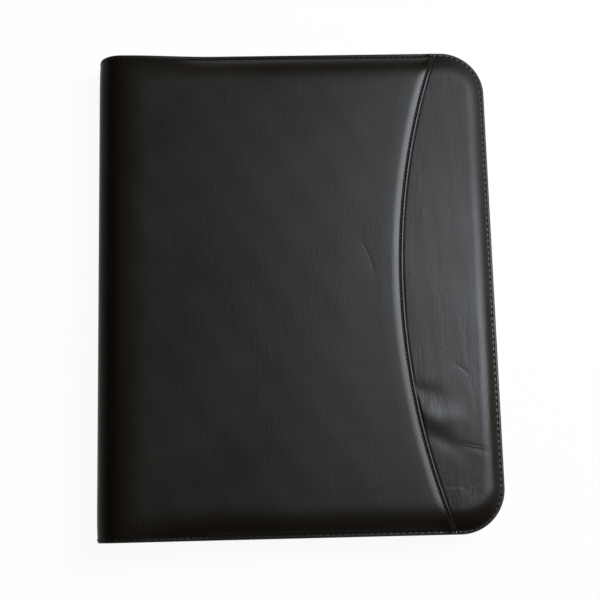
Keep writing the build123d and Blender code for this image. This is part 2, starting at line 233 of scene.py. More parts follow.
def joined(shapes):
    """Several shapes as one, each one's faces counted on from the points before it."""
    faces = []
    count = 0
    for points, own in shapes:
        faces += [[corner + count for corner in face] for face in own]
        count += len(points)
    return np.concatenate([points for points, own in shapes]), faces


def to_back(shape):
    """The same shape on the back cover: heights count down from the front, and each face turns round."""
    points, faces = shape
    turned = points * (1, 1, -1) + (0, 0, thickness)
    return turned, [face[::-1] for face in faces]


def piece(name, shape, finish, smooth=True, weld=False, values=None, uv=None):
    """A mesh object at the origin from a shape in millimetres, with its named point values and its map."""
    points, faces = shape
    mesh = bpy.data.meshes.new(name)
    mesh.from_pydata((points * MM).tolist(), [], faces)
    for label, value in (values or {}).items():
        layer = mesh.attributes.new(label, "FLOAT", "POINT")
        layer.data.foreach_set("value", np.asarray(value, np.float32).ravel())
    if uv is not None:
        corners = np.empty(len(mesh.loops), np.int32)
        mesh.loops.foreach_get("vertex_index", corners)
        layer = mesh.uv_layers.new(name="cloth")
        layer.data.foreach_set("uv", (uv.reshape(-1, 2) * MM)[corners].astype(np.float32).ravel())
    if weld:
        work = bmesh.new()
        work.from_mesh(mesh)
        bmesh.ops.remove_doubles(work, verts=work.verts, dist=1e-7)
        work.to_mesh(mesh)
        work.free()
    mesh.polygons.foreach_set("use_smooth", np.full(len(mesh.polygons), smooth))
    mesh.materials.append(finish)
    mesh.update()
    obj = bpy.data.objects.new(name, mesh)
    bpy.context.scene.collection.objects.link(obj)
    return obj


def crisp(obj, angle):
    """Keeps edges sharper than an angle sharp, and the rest smooth."""
    work = bmesh.new()
    work.from_mesh(obj.data)
    limit = np.radians(angle)
    for edge in work.edges:
        edge.smooth = bool(edge.calc_face_angle(0) < limit)
    work.to_mesh(obj.data)
    work.free()


def dress_spine(obj):
    """Duller copies of the leather on the faces that come nearest to the spine and round it, darker there as
    painted shade.
    """
    mesh = obj.data
    middles = np.empty(3 * len(mesh.polygons), np.float32)
    mesh.polygons.foreach_get("center", middles)
    steps = np.zeros(len(mesh.polygons), np.int32)
    for (limit, shine), finish in zip(spine_shade_steps, spine_shade_leathers):
        mesh.materials.append(finish)
        steps += middles[::3] < limit * MM
    mesh.polygons.foreach_set("material_index", steps)


def dressed(name, shape, finish, slot, *nodes, sharp=None, **options):
    """A piece with its finish, its sharp edges kept and the nodes it stands for hidden; slot is not used."""
    obj = piece(name, shape, finish, **options)
    if sharp:
        crisp(obj, sharp)
    if nodes:
        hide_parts(*nodes)
    return obj


def riding(body, *details, **options):
    """A dressed piece that rides on its body."""
    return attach(dressed(*details, **options), body)


# Finishes
class Wire:
    """A shader value that adds, subtracts and multiplies as a number does; each step becomes a math node."""

    def __init__(self, finish, socket):
        self.finish = finish
        self.socket = socket

    def math(self, operation, *others):
        return self.finish.add("Math", {"operation": operation}, self, *others)

    def __add__(self, other):
        return self.math("ADD", other)

    def __sub__(self, other):
        return self.math("SUBTRACT", other)

    def __mul__(self, other):
        return self.math("MULTIPLY", other)

    def spread(self, low, high, start=0.0, end=1.0):
        """The value moved from the span start to end on to the span low to high."""
        return self.finish.add("MapRange", {}, self, start, end, low, high)

    def tones(self, start, dark, end, pale):
        """A colour band over the value, from one colour to another."""
        ramp = self.finish.tree.nodes.new("ShaderNodeValToRGB")
        self.finish.tree.links.new(self.socket, ramp.inputs[0])
        for element, place, tone in zip(ramp.color_ramp.elements, (start, end), (dark, pale)):
            element.position = place
            element.color = (*tone, 1)
        return Wire(self.finish, ramp.outputs["Color"])

    def blended(self, share, other):
        """A colour turning into another, fixed one as the share rises from nought to one."""
        mixed = self.finish.tree.nodes.new("ShaderNodeMix")
        mixed.data_type = "RGBA"
        self.finish.tree.links.new(share.socket, mixed.inputs[0])
        self.finish.tree.links.new(self.socket, mixed.inputs[6])
        mixed.inputs[7].default_value = (*other, 1)
        return Wire(self.finish, mixed.outputs[2])


class Finish:
    """A material and the nodes added to it; its main shader's fixed inputs are given by name."""

    def __init__(self, name, **shader):
        self.material = bpy.data.materials.new(name)
        self.material.use_nodes = True
        self.tree = self.material.node_tree
        self.main = self.tree.nodes["Principled BSDF"]
        for key, value in shader.items():
            self.main.inputs[key.replace("_", " ")].default_value = value
        self.place = self.add("TexCoord", {}, output="Object")

    def add(self, kind, settings, *ordered, output=0, **named):
        """One shader node: its settings, then its inputs in order or by name, as plain values or wires."""
        node = self.tree.nodes.new("ShaderNode" + kind)
        for key, value in settings.items():
            setattr(node, key, value)
        pairs = list(zip(node.inputs, ordered))
        pairs += [(node.inputs[key.replace("_", " ")], value) for key, value in named.items()]
        for socket, value in pairs:
            if isinstance(value, Wire):
                self.tree.links.new(value.socket, socket)
            else:
                socket.default_value = value
        return Wire(self, node.outputs[output])

    def noise(self, scale, detail, rough=0.5, place=None):
        return self.add("TexNoise", {}, place or self.place, Scale=scale, Detail=detail, Roughness=rough)

    def cells(self, scale):
        return self.add("TexVoronoi", {}, self.place, Scale=scale, output="Distance")

    def wave(self, direction, scale, distortion, place=None):
        """Height of straight waves in one direction, a little distorted."""
        settings = {"bands_direction": direction}
        start = place or self.place
        return self.add("TexWave", settings, start, Scale=scale, Distortion=distortion, output=1)

    def cloth_map(self):
        return self.add("UVMap", {"uv_map": "cloth"})

    def point_value(self, name):
        """A value that the mesh holds for each of its points."""
        return self.add("Attribute", {"attribute_name": name}, output="Fac")

    def drive(self, name, wire):
        self.tree.links.new(wire.socket, self.main.inputs[name])

    def relief(self, height, strength, depth):
        """Bump from a height, depth in metres."""
        bump = self.add("Bump", {}, Strength=strength, Distance=depth, Height=height, output="Normal")
        self.drive("Normal", bump)


def wave_scale(pitch):
    """Scale at which a wave texture repeats at a pitch in millimetres."""
    return 2 * np.pi / (20 * pitch * MM)


def scratch(skin, mid_x, mid_y, long, wide, turn):
    """One along a fine line on the front, fading to nought at its sides and ends; sizes in millimetres."""
    spot = (mid_x * MM, mid_y * MM, thickness * MM)
    reach = (long * MM, wide * MM, middle * MM)
    turned = (0, 0, np.radians(turn))
    line = skin.add("Mapping", {"vector_type": "TEXTURE"}, skin.place, spot, turned, reach)
    far = skin.add("VectorMath", {"operation": "LENGTH"}, line, output="Value")
    return skin.add("MapRange", {"interpolation_type": "SMOOTHSTEP"}, far, 0.0, 1.0, 1.0, 0.0)


def leather_finish(name, dark, pale, low, high, grain, scratches=(), shine=0.3, streak=0.7):
    """Drum-dyed leather: pebbled cells, pores, drawn streaks in clusters, cloudy gloss and some scratches.

    The mesh's own values make it paler along its rubbed edges, partly from rubbing and partly as a painted
    highlight, darker as painted shade and glossier round the spine and sewn edges, and glossier alone where
    it is polished.
    """
    skin = Finish(name, Specular_IOR_Level=shine)
    drawn = skin.add("Mapping", {}, skin.place, Scale=(1.0, 0.2, 1.0))
    streaks = skin.noise(420.0, 2.0, place=drawn).spread(0.0, 1.0, 0.35, 0.7)
    creases = streaks * skin.noise(75.0, 2.0, place=drawn).spread(0.15, 1.0, 0.4, 0.65)
    pores = skin.noise(grain * 2.3, 3.0, 0.6)
    clouds = skin.noise(16.0, 4.0, 0.55)
    # Edges paled partly from rubbing and partly as a painted highlight
    worn_and_lit = skin.point_value("wear_and_highlight") * clouds.spread(0.2, 1.0, 0.35, 0.6)
    shade_and_gloss = skin.point_value("shade_and_gloss")
    # Painted shade: the base colour falls to 0.8 of the dark tone round the spine and along the sewn edges
    shaded_tone = clouds.tones(0.3, dark, 0.7, pale).blended(shade_and_gloss, tuple(0.8 * tone for tone in dark))
    skin.drive("Base Color", shaded_tone.blended(worn_and_lit, (0.05, 0.048, 0.046)))
    gloss = clouds.spread(low, high, 0.3, 0.7) + pores * 0.06
    skin.drive("Roughness", gloss - shade_and_gloss * 0.13 - skin.point_value("polish") * 0.11)
    height = skin.cells(grain) * 0.6 + pores * 0.4 + creases * streak
    for *line, depth in scratches:
        height = height - scratch(skin, *line) * depth
    skin.relief(height, 0.3, 0.00012)
    return skin.material


def thread_finish():
    """Bonded thread: fine twisted strands, some slightly paler than others."""
    twine = Finish("black_thread", Roughness=0.8, Specular_IOR_Level=0.2)
    strands = twine.wave("DIAGONAL", 900.0, 1.0)
    twine.drive("Base Color", strands.tones(0.2, (0.003, 0.003, 0.003), 0.8, (0.008, 0.008, 0.009)))
    twine.relief(strands, 0.4, 0.0001)
    return twine.material


def woven_finish(name, dark, pale, pitch, mapped=False):
    """Woven cloth: two crossed sets of threads, under and over each other, with stray slubs."""
    cloth = Finish(name, Roughness=0.75, Sheen_Weight=0.15)
    if mapped:
        cloth.place = cloth.cloth_map()
    scale = wave_scale(pitch)
    warp = cloth.wave("X", scale, 0.6)
    weft = cloth.wave("Y", scale, 0.6)
    twill = cloth.wave("DIAGONAL", scale, 0.3)
    crossing = (warp * twill).math("MAXIMUM", weft * 0.8)
    shade = crossing * 0.7 + cloth.noise(260.0, 3.0) * 0.4
    cloth.drive("Base Color", shade.tones(0.25, dark, 0.85, pale))
    cloth.relief(shade, 0.5, 0.00015)
    return cloth.material


def ribbed_finish(name, dark, pale, pitch):
    """Grosgrain and elastic: close ribs across the tape's own map, with fuzz."""
    tape = Finish(name, Roughness=0.7, Sheen_Weight=0.2)
    ribs = tape.wave("X", wave_scale(pitch), 0.2, tape.cloth_map())
    shade = ribs * 0.7 + tape.noise(1500.0, 2.0) * 0.3
    tape.drive("Base Color", shade.tones(0.2, dark, 0.8, pale))
    tape.relief(shade, 0.6, 0.0002)
    return tape.material


def metal_finish():
    """Black nickel: dark bright plate with fine tumbling marks and rubbed patches."""
    plate = Finish("black_nickel", Metallic=1.0)
    marks = plate.noise(1800.0, 4.0)
    rubs = plate.noise(160.0, 3.0)
    plate.drive("Base Color", rubs.tones(0.35, (0.10, 0.10, 0.105), 0.7, (0.19, 0.19, 0.20)))
    plate.drive("Roughness", marks.spread(0.2, 0.38))
    plate.relief(marks, 0.12, 0.00005)
    return plate.material


def teeth_finish():
    """Enamelled zip teeth: black with a rubbed grey bloom."""
    lacquer = Finish("enamelled_teeth", Specular_IOR_Level=0.6)
    bloom = lacquer.noise(420.0, 4.0)
    lacquer.drive("Base Color", bloom.tones(0.4, (0.012, 0.012, 0.013), 0.75, (0.045, 0.045, 0.047)))
    lacquer.drive("Roughness", bloom.spread(0.22, 0.42))
    lacquer.relief(bloom, 0.1, 0.00005)
    return lacquer.material


def paper_finish():
    """Writing paper: ruled feint and a margin on the upper face, and its sheets' edges on the sides."""
    rule_pitch = 0.0071
    rule_share = 0.05
    first_rule = 0.104
    margin_x = -0.068
    margin_half = 0.0002
    facing_up = 0.7
    page = Finish("ruled_paper", Roughness=0.85, Specular_IOR_Level=0.25)
    x, y, z = (page.add("SeparateXYZ", {}, page.place, output=axis) for axis in "XYZ")
    normal = page.add("NewGeometry", {}, output="Normal")
    facing = page.add("SeparateXYZ", {}, normal, output="Z")
    upper = facing.math("GREATER_THAN", facing_up)
    rows = (y * (1 / rule_pitch)).math("FRACT")
    ruled = rows.math("LESS_THAN", rule_share) * upper * y.math("LESS_THAN", first_rule)
    margin = (x - margin_x).math("ABSOLUTE").math("LESS_THAN", margin_half) * upper
    layers = page.add("TexNoise", {"noise_dimensions": "1D"}, W=z * 9000.0)
    shade = upper.spread(1.0, 0.0) * (layers * 0.5)
    base = shade.tones(0.0, (0.83, 0.82, 0.78), 0.5, (0.5, 0.49, 0.45))
    lined = base.blended(ruled, (0.35, 0.47, 0.66))
    page.drive("Base Color", lined.blended(margin, (0.68, 0.25, 0.28)))
    page.relief(page.noise(900.0, 4.0) + shade, 0.15, 0.00006)
    return page.material


def fibre_finish(name, dark, pale, scale, rough):
    """Pressed or foamed stock: mottled fibres and small pits."""
    stock = Finish(name, Roughness=rough, Specular_IOR_Level=0.25)
    shade = stock.noise(scale, 6.0, 0.7) * 0.7 + stock.cells(scale * 2) * 0.3
    stock.drive("Base Color", shade.tones(0.3, dark, 0.7, pale))
    stock.relief(shade, 0.3, 0.0002)
    return stock.material


def vinyl_finish():
    """Clear vinyl: a soft see-through sheet with faint waves and rubbing."""
    clear = (0.92, 0.94, 0.95, 1)
    sheet = Finish("clear_vinyl_sheet", Transmission_Weight=1.0, IOR=1.2, Base_Color=clear)
    waves = sheet.noise(45.0, 2.0)
    sheet.drive("Roughness", waves.spread(0.08, 0.22))
    sheet.relief(waves, 0.2, 0.0006)
    return sheet.material


# Scratches and fine creases: middle, half length, half width, turn in degrees and depth
cover_scratches = [
    (47.6, 24.0, 11.0, 1.3, -67.0, 1.5),
    (51.2, 13.5, 7.0, 1.2, -73.0, 1.3),
    (52.0, -3.3, 9.5, 0.9, -92.0, 0.5),
    (55.6, -3.0, 6.0, 0.9, -76.0, 0.4),
    (-77.6, -66.3, 10.0, 0.6, -71.0, 1.6),
    (-17.7, -42.4, 4.5, 0.6, -81.0, 1.4),
    (-3.4, -112.4, 3.0, 0.6, -83.0, 1.6),
    (69.0, -140.8, 3.6, 0.5, -1.0, 1.4),
    (86.1, -143.1, 3.4, 0.5, 12.0, 1.4),
    (114.3, -108.6, 10.5, 0.8, -12.0, -1.6),
    (108.6, -57.0, 6.0, 0.7, -39.0, 1.6),
    (94.9, -43.7, 5.0, 0.6, -30.0, 1.2),
]
dyed = ((0.0078, 0.0055, 0.0029), (0.0128, 0.0094, 0.0054))
cover_leather = leather_finish("cover_leather", *dyed, 0.38, 0.45, 1150.0, cover_scratches, shine=0.27)
fore_leather = leather_finish("fore_edge_leather", *dyed, 0.33, 0.40, 1150.0, cover_scratches, streak=1.3)

# Leather dulled in steps towards the spine, darker there as painted shade: where each begins, and its finish
spine_shade_steps = [(-104.0, 0.22), (-109.5, 0.17), (-115.0, 0.11), (-121.0, 0.05)]
spine_shade_leathers = [
    leather_finish(f"spine_leather_{step}", *dyed, 0.38, 0.45, 1150.0, shine=shine)
    for step, (limit, shine) in enumerate(spine_shade_steps, 1)
]
pocket_hide = leather_finish("pocket_leather", (0.008,) * 3, (0.013,) * 3, 0.48, 0.58, 900.0)
thread = thread_finish()
lining_cloth = woven_finish("lining_cloth", (0.010, 0.010, 0.011), (0.035, 0.035, 0.037), 0.55)
tape_cloth = woven_finish("zip_tape_cloth", (0.006, 0.006, 0.007), (0.024, 0.024, 0.026), 0.6, mapped=True)
bound_ribs = ribbed_finish("bound_grosgrain", (0.014, 0.014, 0.015), (0.055, 0.055, 0.057), 0.8)
elastic_ribs = ribbed_finish("pen_elastic", (0.008, 0.008, 0.009), (0.03, 0.03, 0.032), 1.0)
black_nickel = metal_finish()
enamel = teeth_finish()
ruled_paper = paper_finish()
greyboard = fibre_finish("greyboard_stock", (0.22, 0.20, 0.17), (0.36, 0.34, 0.30), 240.0, 0.9)
pad_card = fibre_finish("pad_backing_card", (0.30, 0.24, 0.17), (0.44, 0.37, 0.28), 300.0, 0.9)
foam_stock = fibre_finish("soft_foam", (0.06, 0.06, 0.065), (0.12, 0.12, 0.125), 700.0, 0.95)
pad_cloth = fibre_finish("pad_binding_tape", (0.012, 0.013, 0.016), (0.03, 0.032, 0.038), 500.0, 0.7)
vinyl = vinyl_finish()


# The cover's outline and the leather over it
def edge_inset(x, y):
    """Distance in from the outline of a box with two rounded corners that runs on towards the spine."""
    dx = x - (fore_x - corner_radius)
    dy = np.abs(y) - corner_y
    outside = np.hypot(np.maximum(dx, 0), np.maximum(dy, 0))
    return corner_radius - outside - np.minimum(np.maximum(dx, dy), 0)


def outline_marks(travel, inset):
    """How far each stretch of the outline has been travelled: bottom, corner, side, corner and top."""
    bend = corner_radius - inset
    turn = bend * np.pi / 2
    side = 2 * corner_y
    first = np.clip(travel, 0, straight_run)
    swing = np.clip((travel - straight_run) / bend, 0, np.pi / 2)
    up = np.clip(travel - straight_run - turn, 0, side)
    swing_back = np.clip((travel - straight_run - turn - side) / bend, 0, np.pi / 2)
    last = np.maximum(travel - straight_run - 2 * turn - side, 0)
    return first, swing, up, swing_back, last


def outline_place(marks, inset):
    """Run from the middle of the spine, height up the page and heading, on the line drawn in by inset."""
    first, swing, up, swing_back, last = marks
    bend = corner_radius - inset
    run = first + bend * np.sin(swing) - bend * (1 - np.cos(swing_back)) - last
    y = -corner_y - bend * np.cos(swing) + up + bend * np.sin(swing_back)
    return run, y, swing + swing_back


def outline_length(inset):
    return 2 * straight_run + np.pi * (corner_radius - inset) + 2 * corner_y


def edge_travel(run, y):
    """Distance along the outline to the foot of each point, counted as the outline is travelled."""
    dx = np.maximum(run - straight_run, 0)
    dy = np.abs(y) - corner_y
    swing = np.where(dy > 0, np.arctan2(dx, np.maximum(dy, 1e-9)), np.pi / 2)
    ends = np.minimum(run, straight_run) + corner_radius * swing
    side = straight_run + corner_radius * np.pi / 2 + y + corner_y
    return np.where(dy > 0, np.where(y < 0, ends, outline_length(0) - ends), side)


def run_of(x):
    """Run along the leather to where it lies at x on a flat cover."""
    return quarter + x - crease_x


def flat_x(run):
    """Where a run along the leather would come to on a flat cover."""
    return crease_x + run - quarter


def wrap(run, y, drop):
    """Leather line: a quarter circle from the spine's middle, then the flat crown; drop goes square in."""
    turn = np.clip(run / spine_radius, 0, np.pi / 2)
    x = crease_x - (spine_radius - drop) * np.cos(turn) + np.maximum(run - quarter, 0)
    z = middle + (spine_radius - drop) * np.sin(turn)
    return stacked(x, y, z)


def flange_depth(run):
    """Depth of the sewn flange below the crown: shallow round the spine, full on the cover."""
    return spine_end_drop + (flange_drop - spine_end_drop) * ease((run - quarter) / flange_rise_length)


def rim_low(run):
    """Depth of the rim's lower edge: it stays down beside the zip and only rises close to the spine."""
    return rim_depth + rim_end_drop + (flange_drop - rim_end_drop) * ease((run - quarter) / rim_rise_length)


def shoulder(inset, reach, power=3):
    """Share of the flange's depth: whole on the flange, then a power of the way left to the crown."""
    return (1 - np.clip((inset - flange_width) / reach, 0, 1)) ** power


def sewn_groove(inset, travel):
    """Groove that the stitches pull in, deepest where each stitch ends."""
    pull = 0.7 + 0.3 * np.cos(2 * np.pi * travel / stitch_pitch)
    return 0.25 * pull * np.exp(-(((inset - stitch_inset) / 0.5) ** 2))


def rim_drop(inset):
    """Top of the turned edge: a quarter of an ellipse, longer than it is deep."""
    left = 1 - np.clip(inset / rim_reach, 0, 1)
    return rim_round * (1 - np.sqrt(np.maximum(1 - left**2, 0)))


def edge_profile(limit, step):
    """Insets from inside the turned-under rim, up its side, round its top and on over the leather.

    With each comes the share of the way down to the rim's lower edge.
    """
    under = [(0.9, 0.5), (0.9, 0.85), (0.65, 0.98), (0.3, 1.0), (0.08, 0.9), (0.0, 0.7)]
    turn = np.linspace(0, np.pi / 2, 8)
    over = np.arange(rim_reach + 0.15, limit, step)
    inset = np.concatenate([[a for a, b in under], rim_reach * (1 - np.cos(turn)), over])
    down = np.zeros(len(inset))
    down[: len(under)] = [b for a, b in under]
    return inset, down


def rim_extra(run, inset, down):
    """Drop below the flange: down the rim's side by its share, or round the rim's top."""
    return np.where(down > 0, down * (rim_low(run) - flange_depth(run)), rim_drop(inset))


def seam_reach(x, y):
    """Distance from the seam's edge: over nought on the main panel."""
    return np.hypot(x - seam_centre_x, y) - seam_radius


def seam_x(y):
    return seam_centre_x - np.sqrt(seam_radius**2 - y**2)


main_waves = [
    (0.05, 61.0, 78.0, 0.4),
    (0.04, 43.0, 121.0, 2.0),
    (0.03, 27.0, 34.0, 4.1),
    (0.02, 17.0, 95.0, 1.3),
]
main_marks = [
    (48.4, 22.0, 12.0, 2.2, -68.0, -0.1),
    (51.5, 13.0, 8.0, 2.0, -74.0, -0.08),
    (54.0, -5.0, 8.0, 3.0, -82.0, -0.04),
]
edge_waves = [
    (0.05, 83.0, 81.0, 0.7),
    (0.03, 52.0, 58.0, 3.0),
    (0.02, 37.0, 112.0, 1.1),
    (0.01, 13.0, 6.0, 2.2),
]
edge_marks = [
    (82.0, -71.5, 11.0, 5.0, -6.0, -0.42),
    (86.0, -88.5, 13.0, 8.0, -26.0, 0.9),
    (101.0, -88.0, 8.0, 7.0, -20.0, 0.3),
    (95.0, -104.5, 14.0, 5.0, -32.0, -0.28),
    (115.0, -109.5, 10.0, 2.2, -14.0, -0.12),
    (108.6, -57.0, 6.0, 1.8, -39.0, -0.08),
]


def main_crown(x, y):
    """Gentle swell of the padded panel, highest in its middle, with the unevenness of hand-laid leather."""
    swell = 0.55 * np.clip(1 - ((x + 20) / 110) ** 2, 0, 1) * (1 - (y / half_height) ** 2)
    return swell + ripple(x, y, main_waves) + dents(x, y, main_marks)


def front_drop(run, y, inset):
    """Drop of the main panel below its crown line: sewn flange, shoulder, seam slope, grooves and swell."""
    x = flat_x(run)
    past_seam = np.maximum(seam_reach(x, y), 0)
    edge = flange_depth(run) * shoulder(inset, main_shoulder)
    share = edge / flange_drop
    slope = seam_roll_drop * (1 - np.clip((past_seam - lip_width) / seam_roll, 0, 1)) ** 2
    slope = slope + seam_fall_drop * (1 - np.clip((past_seam - lip_width) / seam_fall, 0, 1)) ** 2
    lift = 0.55 * share * (1 - ease((past_seam - 2) / 6))
    sewn = seam_groove_depth * np.exp(-(((past_seam - seam_stitch) / seam_groove) ** 2))
    lip_middle = (seam_stitch - seam_groove) / 2
    sewn = sewn + lip_round * np.clip(1 - past_seam / (2 * lip_middle), 0, 1) ** 2
    calm = ease((inset - 4) / 14) * ease((past_seam - 3) / 45) * ease((run - quarter) / 20)
    groove = sewn_groove(inset, edge_travel(run, y))
    return edge + slope * (1 - share) - lift * (1 - 0.2 * share) + sewn + groove - calm * main_crown(x, y)


def shade_and_gloss_share(run, inset):
    """Share of painted shade and gloss: one round the spine's roll and along the sewn edges, where the
    leather is painted darkest; nought elsewhere.
    """
    round_spine = 1 - ease((run - 0.8 * quarter) / 26.0)
    return np.maximum(round_spine, 1 - ease((inset - flange_width) / shade_gloss_width))


def front_leather():
    """Main panel with the upper half of the spine: rows from the spine to the seam, columns up the page."""
    inset, down = edge_profile(close_rows, 0.4)
    inner = np.linspace(-half_height + close_rows, half_height - close_rows, 200)
    y = np.concatenate([inset - half_height, inner, (half_height - inset)[::-1]])
    column_inset = np.concatenate([inset, half_height - np.abs(inner), inset[::-1]])
    column_down = np.concatenate([down, 0 * inner, down[::-1]])
    turn = np.linspace(np.pi / 2, 0, 5)
    near = np.concatenate([np.arange(seam_fall, 4.0, -0.5), np.arange(4.0, lip_radius, -0.19)])
    from_seam = np.concatenate([near, lip_radius * (1 - np.cos(turn)), [0, 0, 0.9]])
    row_extra = np.concatenate([0 * near, lip_radius * (1 - np.sin(turn)), [1.0, 1.6, 2.0]])
    end = run_of(seam_x(np.clip(y, -half_height, half_height)))
    share = np.concatenate([np.linspace(0, 0.01, 6), np.linspace(0.015, 1, 205)[:-1]])[:, None]
    run = np.concatenate([share * (end - seam_fall), end - from_seam[:, None]])
    row_extra = np.concatenate([0 * share[:, 0], row_extra])[:, None]
    drop = front_drop(run, y, column_inset) + rim_extra(run, column_inset, column_down) + row_extra
    # Paler rim and a paler line on the seam's lip: partly rubbing, partly a painted highlight
    rubbed = np.exp(-((column_inset / wear_highlight_width) ** 2)) + 0 * run
    rubbed = np.maximum(rubbed, 0.5 * np.exp(-((seam_reach(flat_x(run), y) / 0.5) ** 2)))
    polish = 1.35 * np.exp(-(((seam_reach(flat_x(run), y) - lip_width) / seam_roll) ** 2))
    layers = {"wear_and_highlight": rubbed, "shade_and_gloss": shade_and_gloss_share(run, column_inset), "polish": polish}
    return grid_shape(wrap(run, y, drop)), layers


def end_share(x, y):
    """Nought along the fore edge and one along the page's two ends, turning over at the corners."""
    dx = np.maximum(x - fore_x + corner_radius, 0)
    dy = np.maximum(np.abs(y) - corner_y, 0)
    return dy**2 / np.maximum(dx**2 + dy**2, 1e-9)


def edge_height(x, y, inset):
    """Level of the fore-edge panel: flange, shoulder and creases, dipping where the lip laps over it."""
    past_seam = seam_reach(x, y)
    end = end_share(x, y)
    reach = edge_shoulder + (edge_end_shoulder - edge_shoulder) * end
    low = (edge_drop + fore_flange_drop * (1 - end)) * shoulder(inset, reach, 2) + rim_drop(inset)
    from_seam = np.clip((x - fore_x) / seam_middle_from_edge + 1, 0, 1)
    low = low + edge_bow * from_seam**2 * (1 - end) * ease((inset - flange_width) / edge_shoulder)
    dip = 0.2 * ease((past_seam + 1.4) / 1.4) + 0.9 * ease((past_seam + 0.1) / 0.9)
    calm = ease((inset - 5) / 9) * ease((0.5 - past_seam) / 2)
    groove = sewn_groove(inset, edge_travel(run_of(x), y))
    uneven = ripple(x, y, edge_waves) + dents(x, y, edge_marks)
    return edge_crown - low - dip - groove + calm * uneven


def edge_leather():
    """Fore-edge panel: rows along the outline, columns from its rim to the seam, tucked under the lip."""
    reach = seam_radius + tuck
    end_angle = np.arcsin(half_height / reach)
    start = run_of(seam_centre_x - reach * np.cos(end_angle))
    share = np.linspace(0, 1, 400)
    marks = outline_marks(start + share * (outline_length(0) - 2 * start), 0)
    run, edge_y, heading = (value[:, None] for value in outline_place(marks, 0))
    edge_x = flat_x(run)
    inward = stacked(-np.sin(heading), np.cos(heading))
    under_lip = 0.35 * ease(seam_reach(edge_x, edge_y) / 0.6)
    edge_x = edge_x + under_lip * inward[..., 0]
    edge_y = edge_y + under_lip * inward[..., 1]
    inset, down = edge_profile(close_rows, 0.45)
    skirt = int(np.argmin(down > 0))
    angle = end_angle * (2 * share[:, None] - 1)
    to_x = seam_centre_x - reach * np.cos(angle)
    to_y = reach * np.sin(angle)
    part = np.concatenate([inset[skirt:] / 60, np.linspace(0.26, 0.9, 44), np.linspace(0.91, 1, 24)])
    x = edge_x + part * (to_x - edge_x)
    y = edge_y + part * (to_y - edge_y)
    top = stacked(x, y, edge_height(x, y, edge_inset(x, y)))
    side_x = edge_x + inset[:skirt] * inward[..., 0]
    side_y = edge_y + inset[:skirt] * inward[..., 1]
    foot = flange_top - fore_flange_drop * (1 - end_share(edge_x, edge_y))
    side_z = np.minimum(foot - rim_depth * down[:skirt], top[:, :1, 2])
    side = stacked(side_x, side_y, side_z)
    points = np.concatenate([side, top], axis=1)
    from_edge = edge_inset(points[..., 0], points[..., 1])
    end = end_share(points[..., 0], points[..., 1])
    # Painted shade, with more gloss, along the page's two ends; none along the fore edge
    shade_and_gloss = end * (1 - ease((from_edge - flange_width) / shade_gloss_width))
    polish = 1.7 * ease((150 - points[..., 1]) / 240) - 1.0
    layers = {"wear_and_highlight": np.exp(-((from_edge / wear_highlight_width) ** 2)), "shade_and_gloss": shade_and_gloss, "polish": polish}
    return grid_shape(points), layers


def back_leather():
    """Back panel with the spine's lower half: rings drawn in from the outline, round a plain grid."""
    columns = np.concatenate([np.linspace(0, 3, 8), np.linspace(4, straight_run, 170)])
    rows = np.linspace(-corner_y, corner_y, 160)
    bend = np.linspace(0, np.pi / 2, 30)
    turn = corner_radius * np.pi / 2
    travel = [columns, straight_run + corner_radius * bend[1:], straight_run + turn + rows[1:] + corner_y]
    after = straight_run + turn + 2 * corner_y
    travel += [after + corner_radius * bend[1:], after + turn + straight_run - columns[::-1][1:]]
    marks = [value[:, None] for value in outline_marks(np.concatenate(travel), 0)]
    inset, down = edge_profile(close_rows, 0.4)
    inset = np.concatenate([inset, np.linspace(close_rows + 0.5, corner_radius, 12)])
    down = np.concatenate([down, np.zeros(12)])
    run, y, heading = outline_place(marks, inset)
    drop = flange_depth(run) * shoulder(inset, main_shoulder) + rim_extra(run, inset, down)
    drop = drop + sewn_groove(inset, edge_travel(run, y))
    ring = wrap(run, y, drop)
    core_run, core_y = np.meshgrid(columns, rows, indexing="ij")
    core = wrap(core_run, core_y, 0 * core_run)
    # Paler rim, partly rubbing and partly a painted highlight; painted shade round the spine and along the
    # sewn edges
    rubbed = np.concatenate([(np.exp(-((inset / wear_highlight_width) ** 2)) + 0 * run).ravel(), 0 * core_run.ravel()])
    core_inset = corner_radius + 0 * core_run
    shade_and_gloss = np.concatenate([shade_and_gloss_share(run, inset).ravel(), shade_and_gloss_share(core_run, core_inset).ravel()])
    return to_back(joined([grid_shape(ring), grid_shape(core)])), {"wear_and_highlight": rubbed, "shade_and_gloss": shade_and_gloss}


def fold_front(obj):
    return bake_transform(obj)


def fold_back(obj):
    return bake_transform(obj)


shape, layers = front_leather()
main_hide = dressed("front_leather", shape, cover_leather, "leather", "front_main_panel", values=layers)
dress_spine(main_hide)
fold_front(main_hide)

shape, layers = edge_leather()
details = ("fore_edge_leather", shape, fore_leather, "leather", "front_edge_panel")
edge_hide = riding("front_cover", *details, weld=True, values=layers)

shape, layers = back_leather()
details = ("back_leather", shape, cover_leather, "leather", "back_skin", "spine_skin")
back_hide = dressed(*details, weld=True, values=layers)
dress_spine(back_hide)
fold_back(back_hide)


# Foam under the leather
def corner_loss(y):
    """How far the rounded corners fall back from the fore edge, at a height up the page."""
    reach = np.maximum(np.abs(y) - corner_y, 0)
    return corner_radius - np.sqrt(corner_radius**2 - reach**2)


def on_board(top):
    """Foam from a surface down to the flat board under it."""
    low = top * (1, 1, 0) + (0, 0, board_top)
    return slab_shape(np.maximum(top, low), low)


def main_foam():
    """Foam of the main panel: the leather's own form a skin lower."""
    y = np.linspace(-half_height + foam_inset, half_height - foam_inset, 90)
    left = quarter + spine_gap
    right = run_of(seam_x(y) - main_seam_gap)
    run = left + np.linspace(0, 1, 90)[:, None] * (right - left)
    inset = half_height - np.abs(y) + 0 * run
    return on_board(wrap(run, y, front_drop(run, y, inset) + leather_skin))


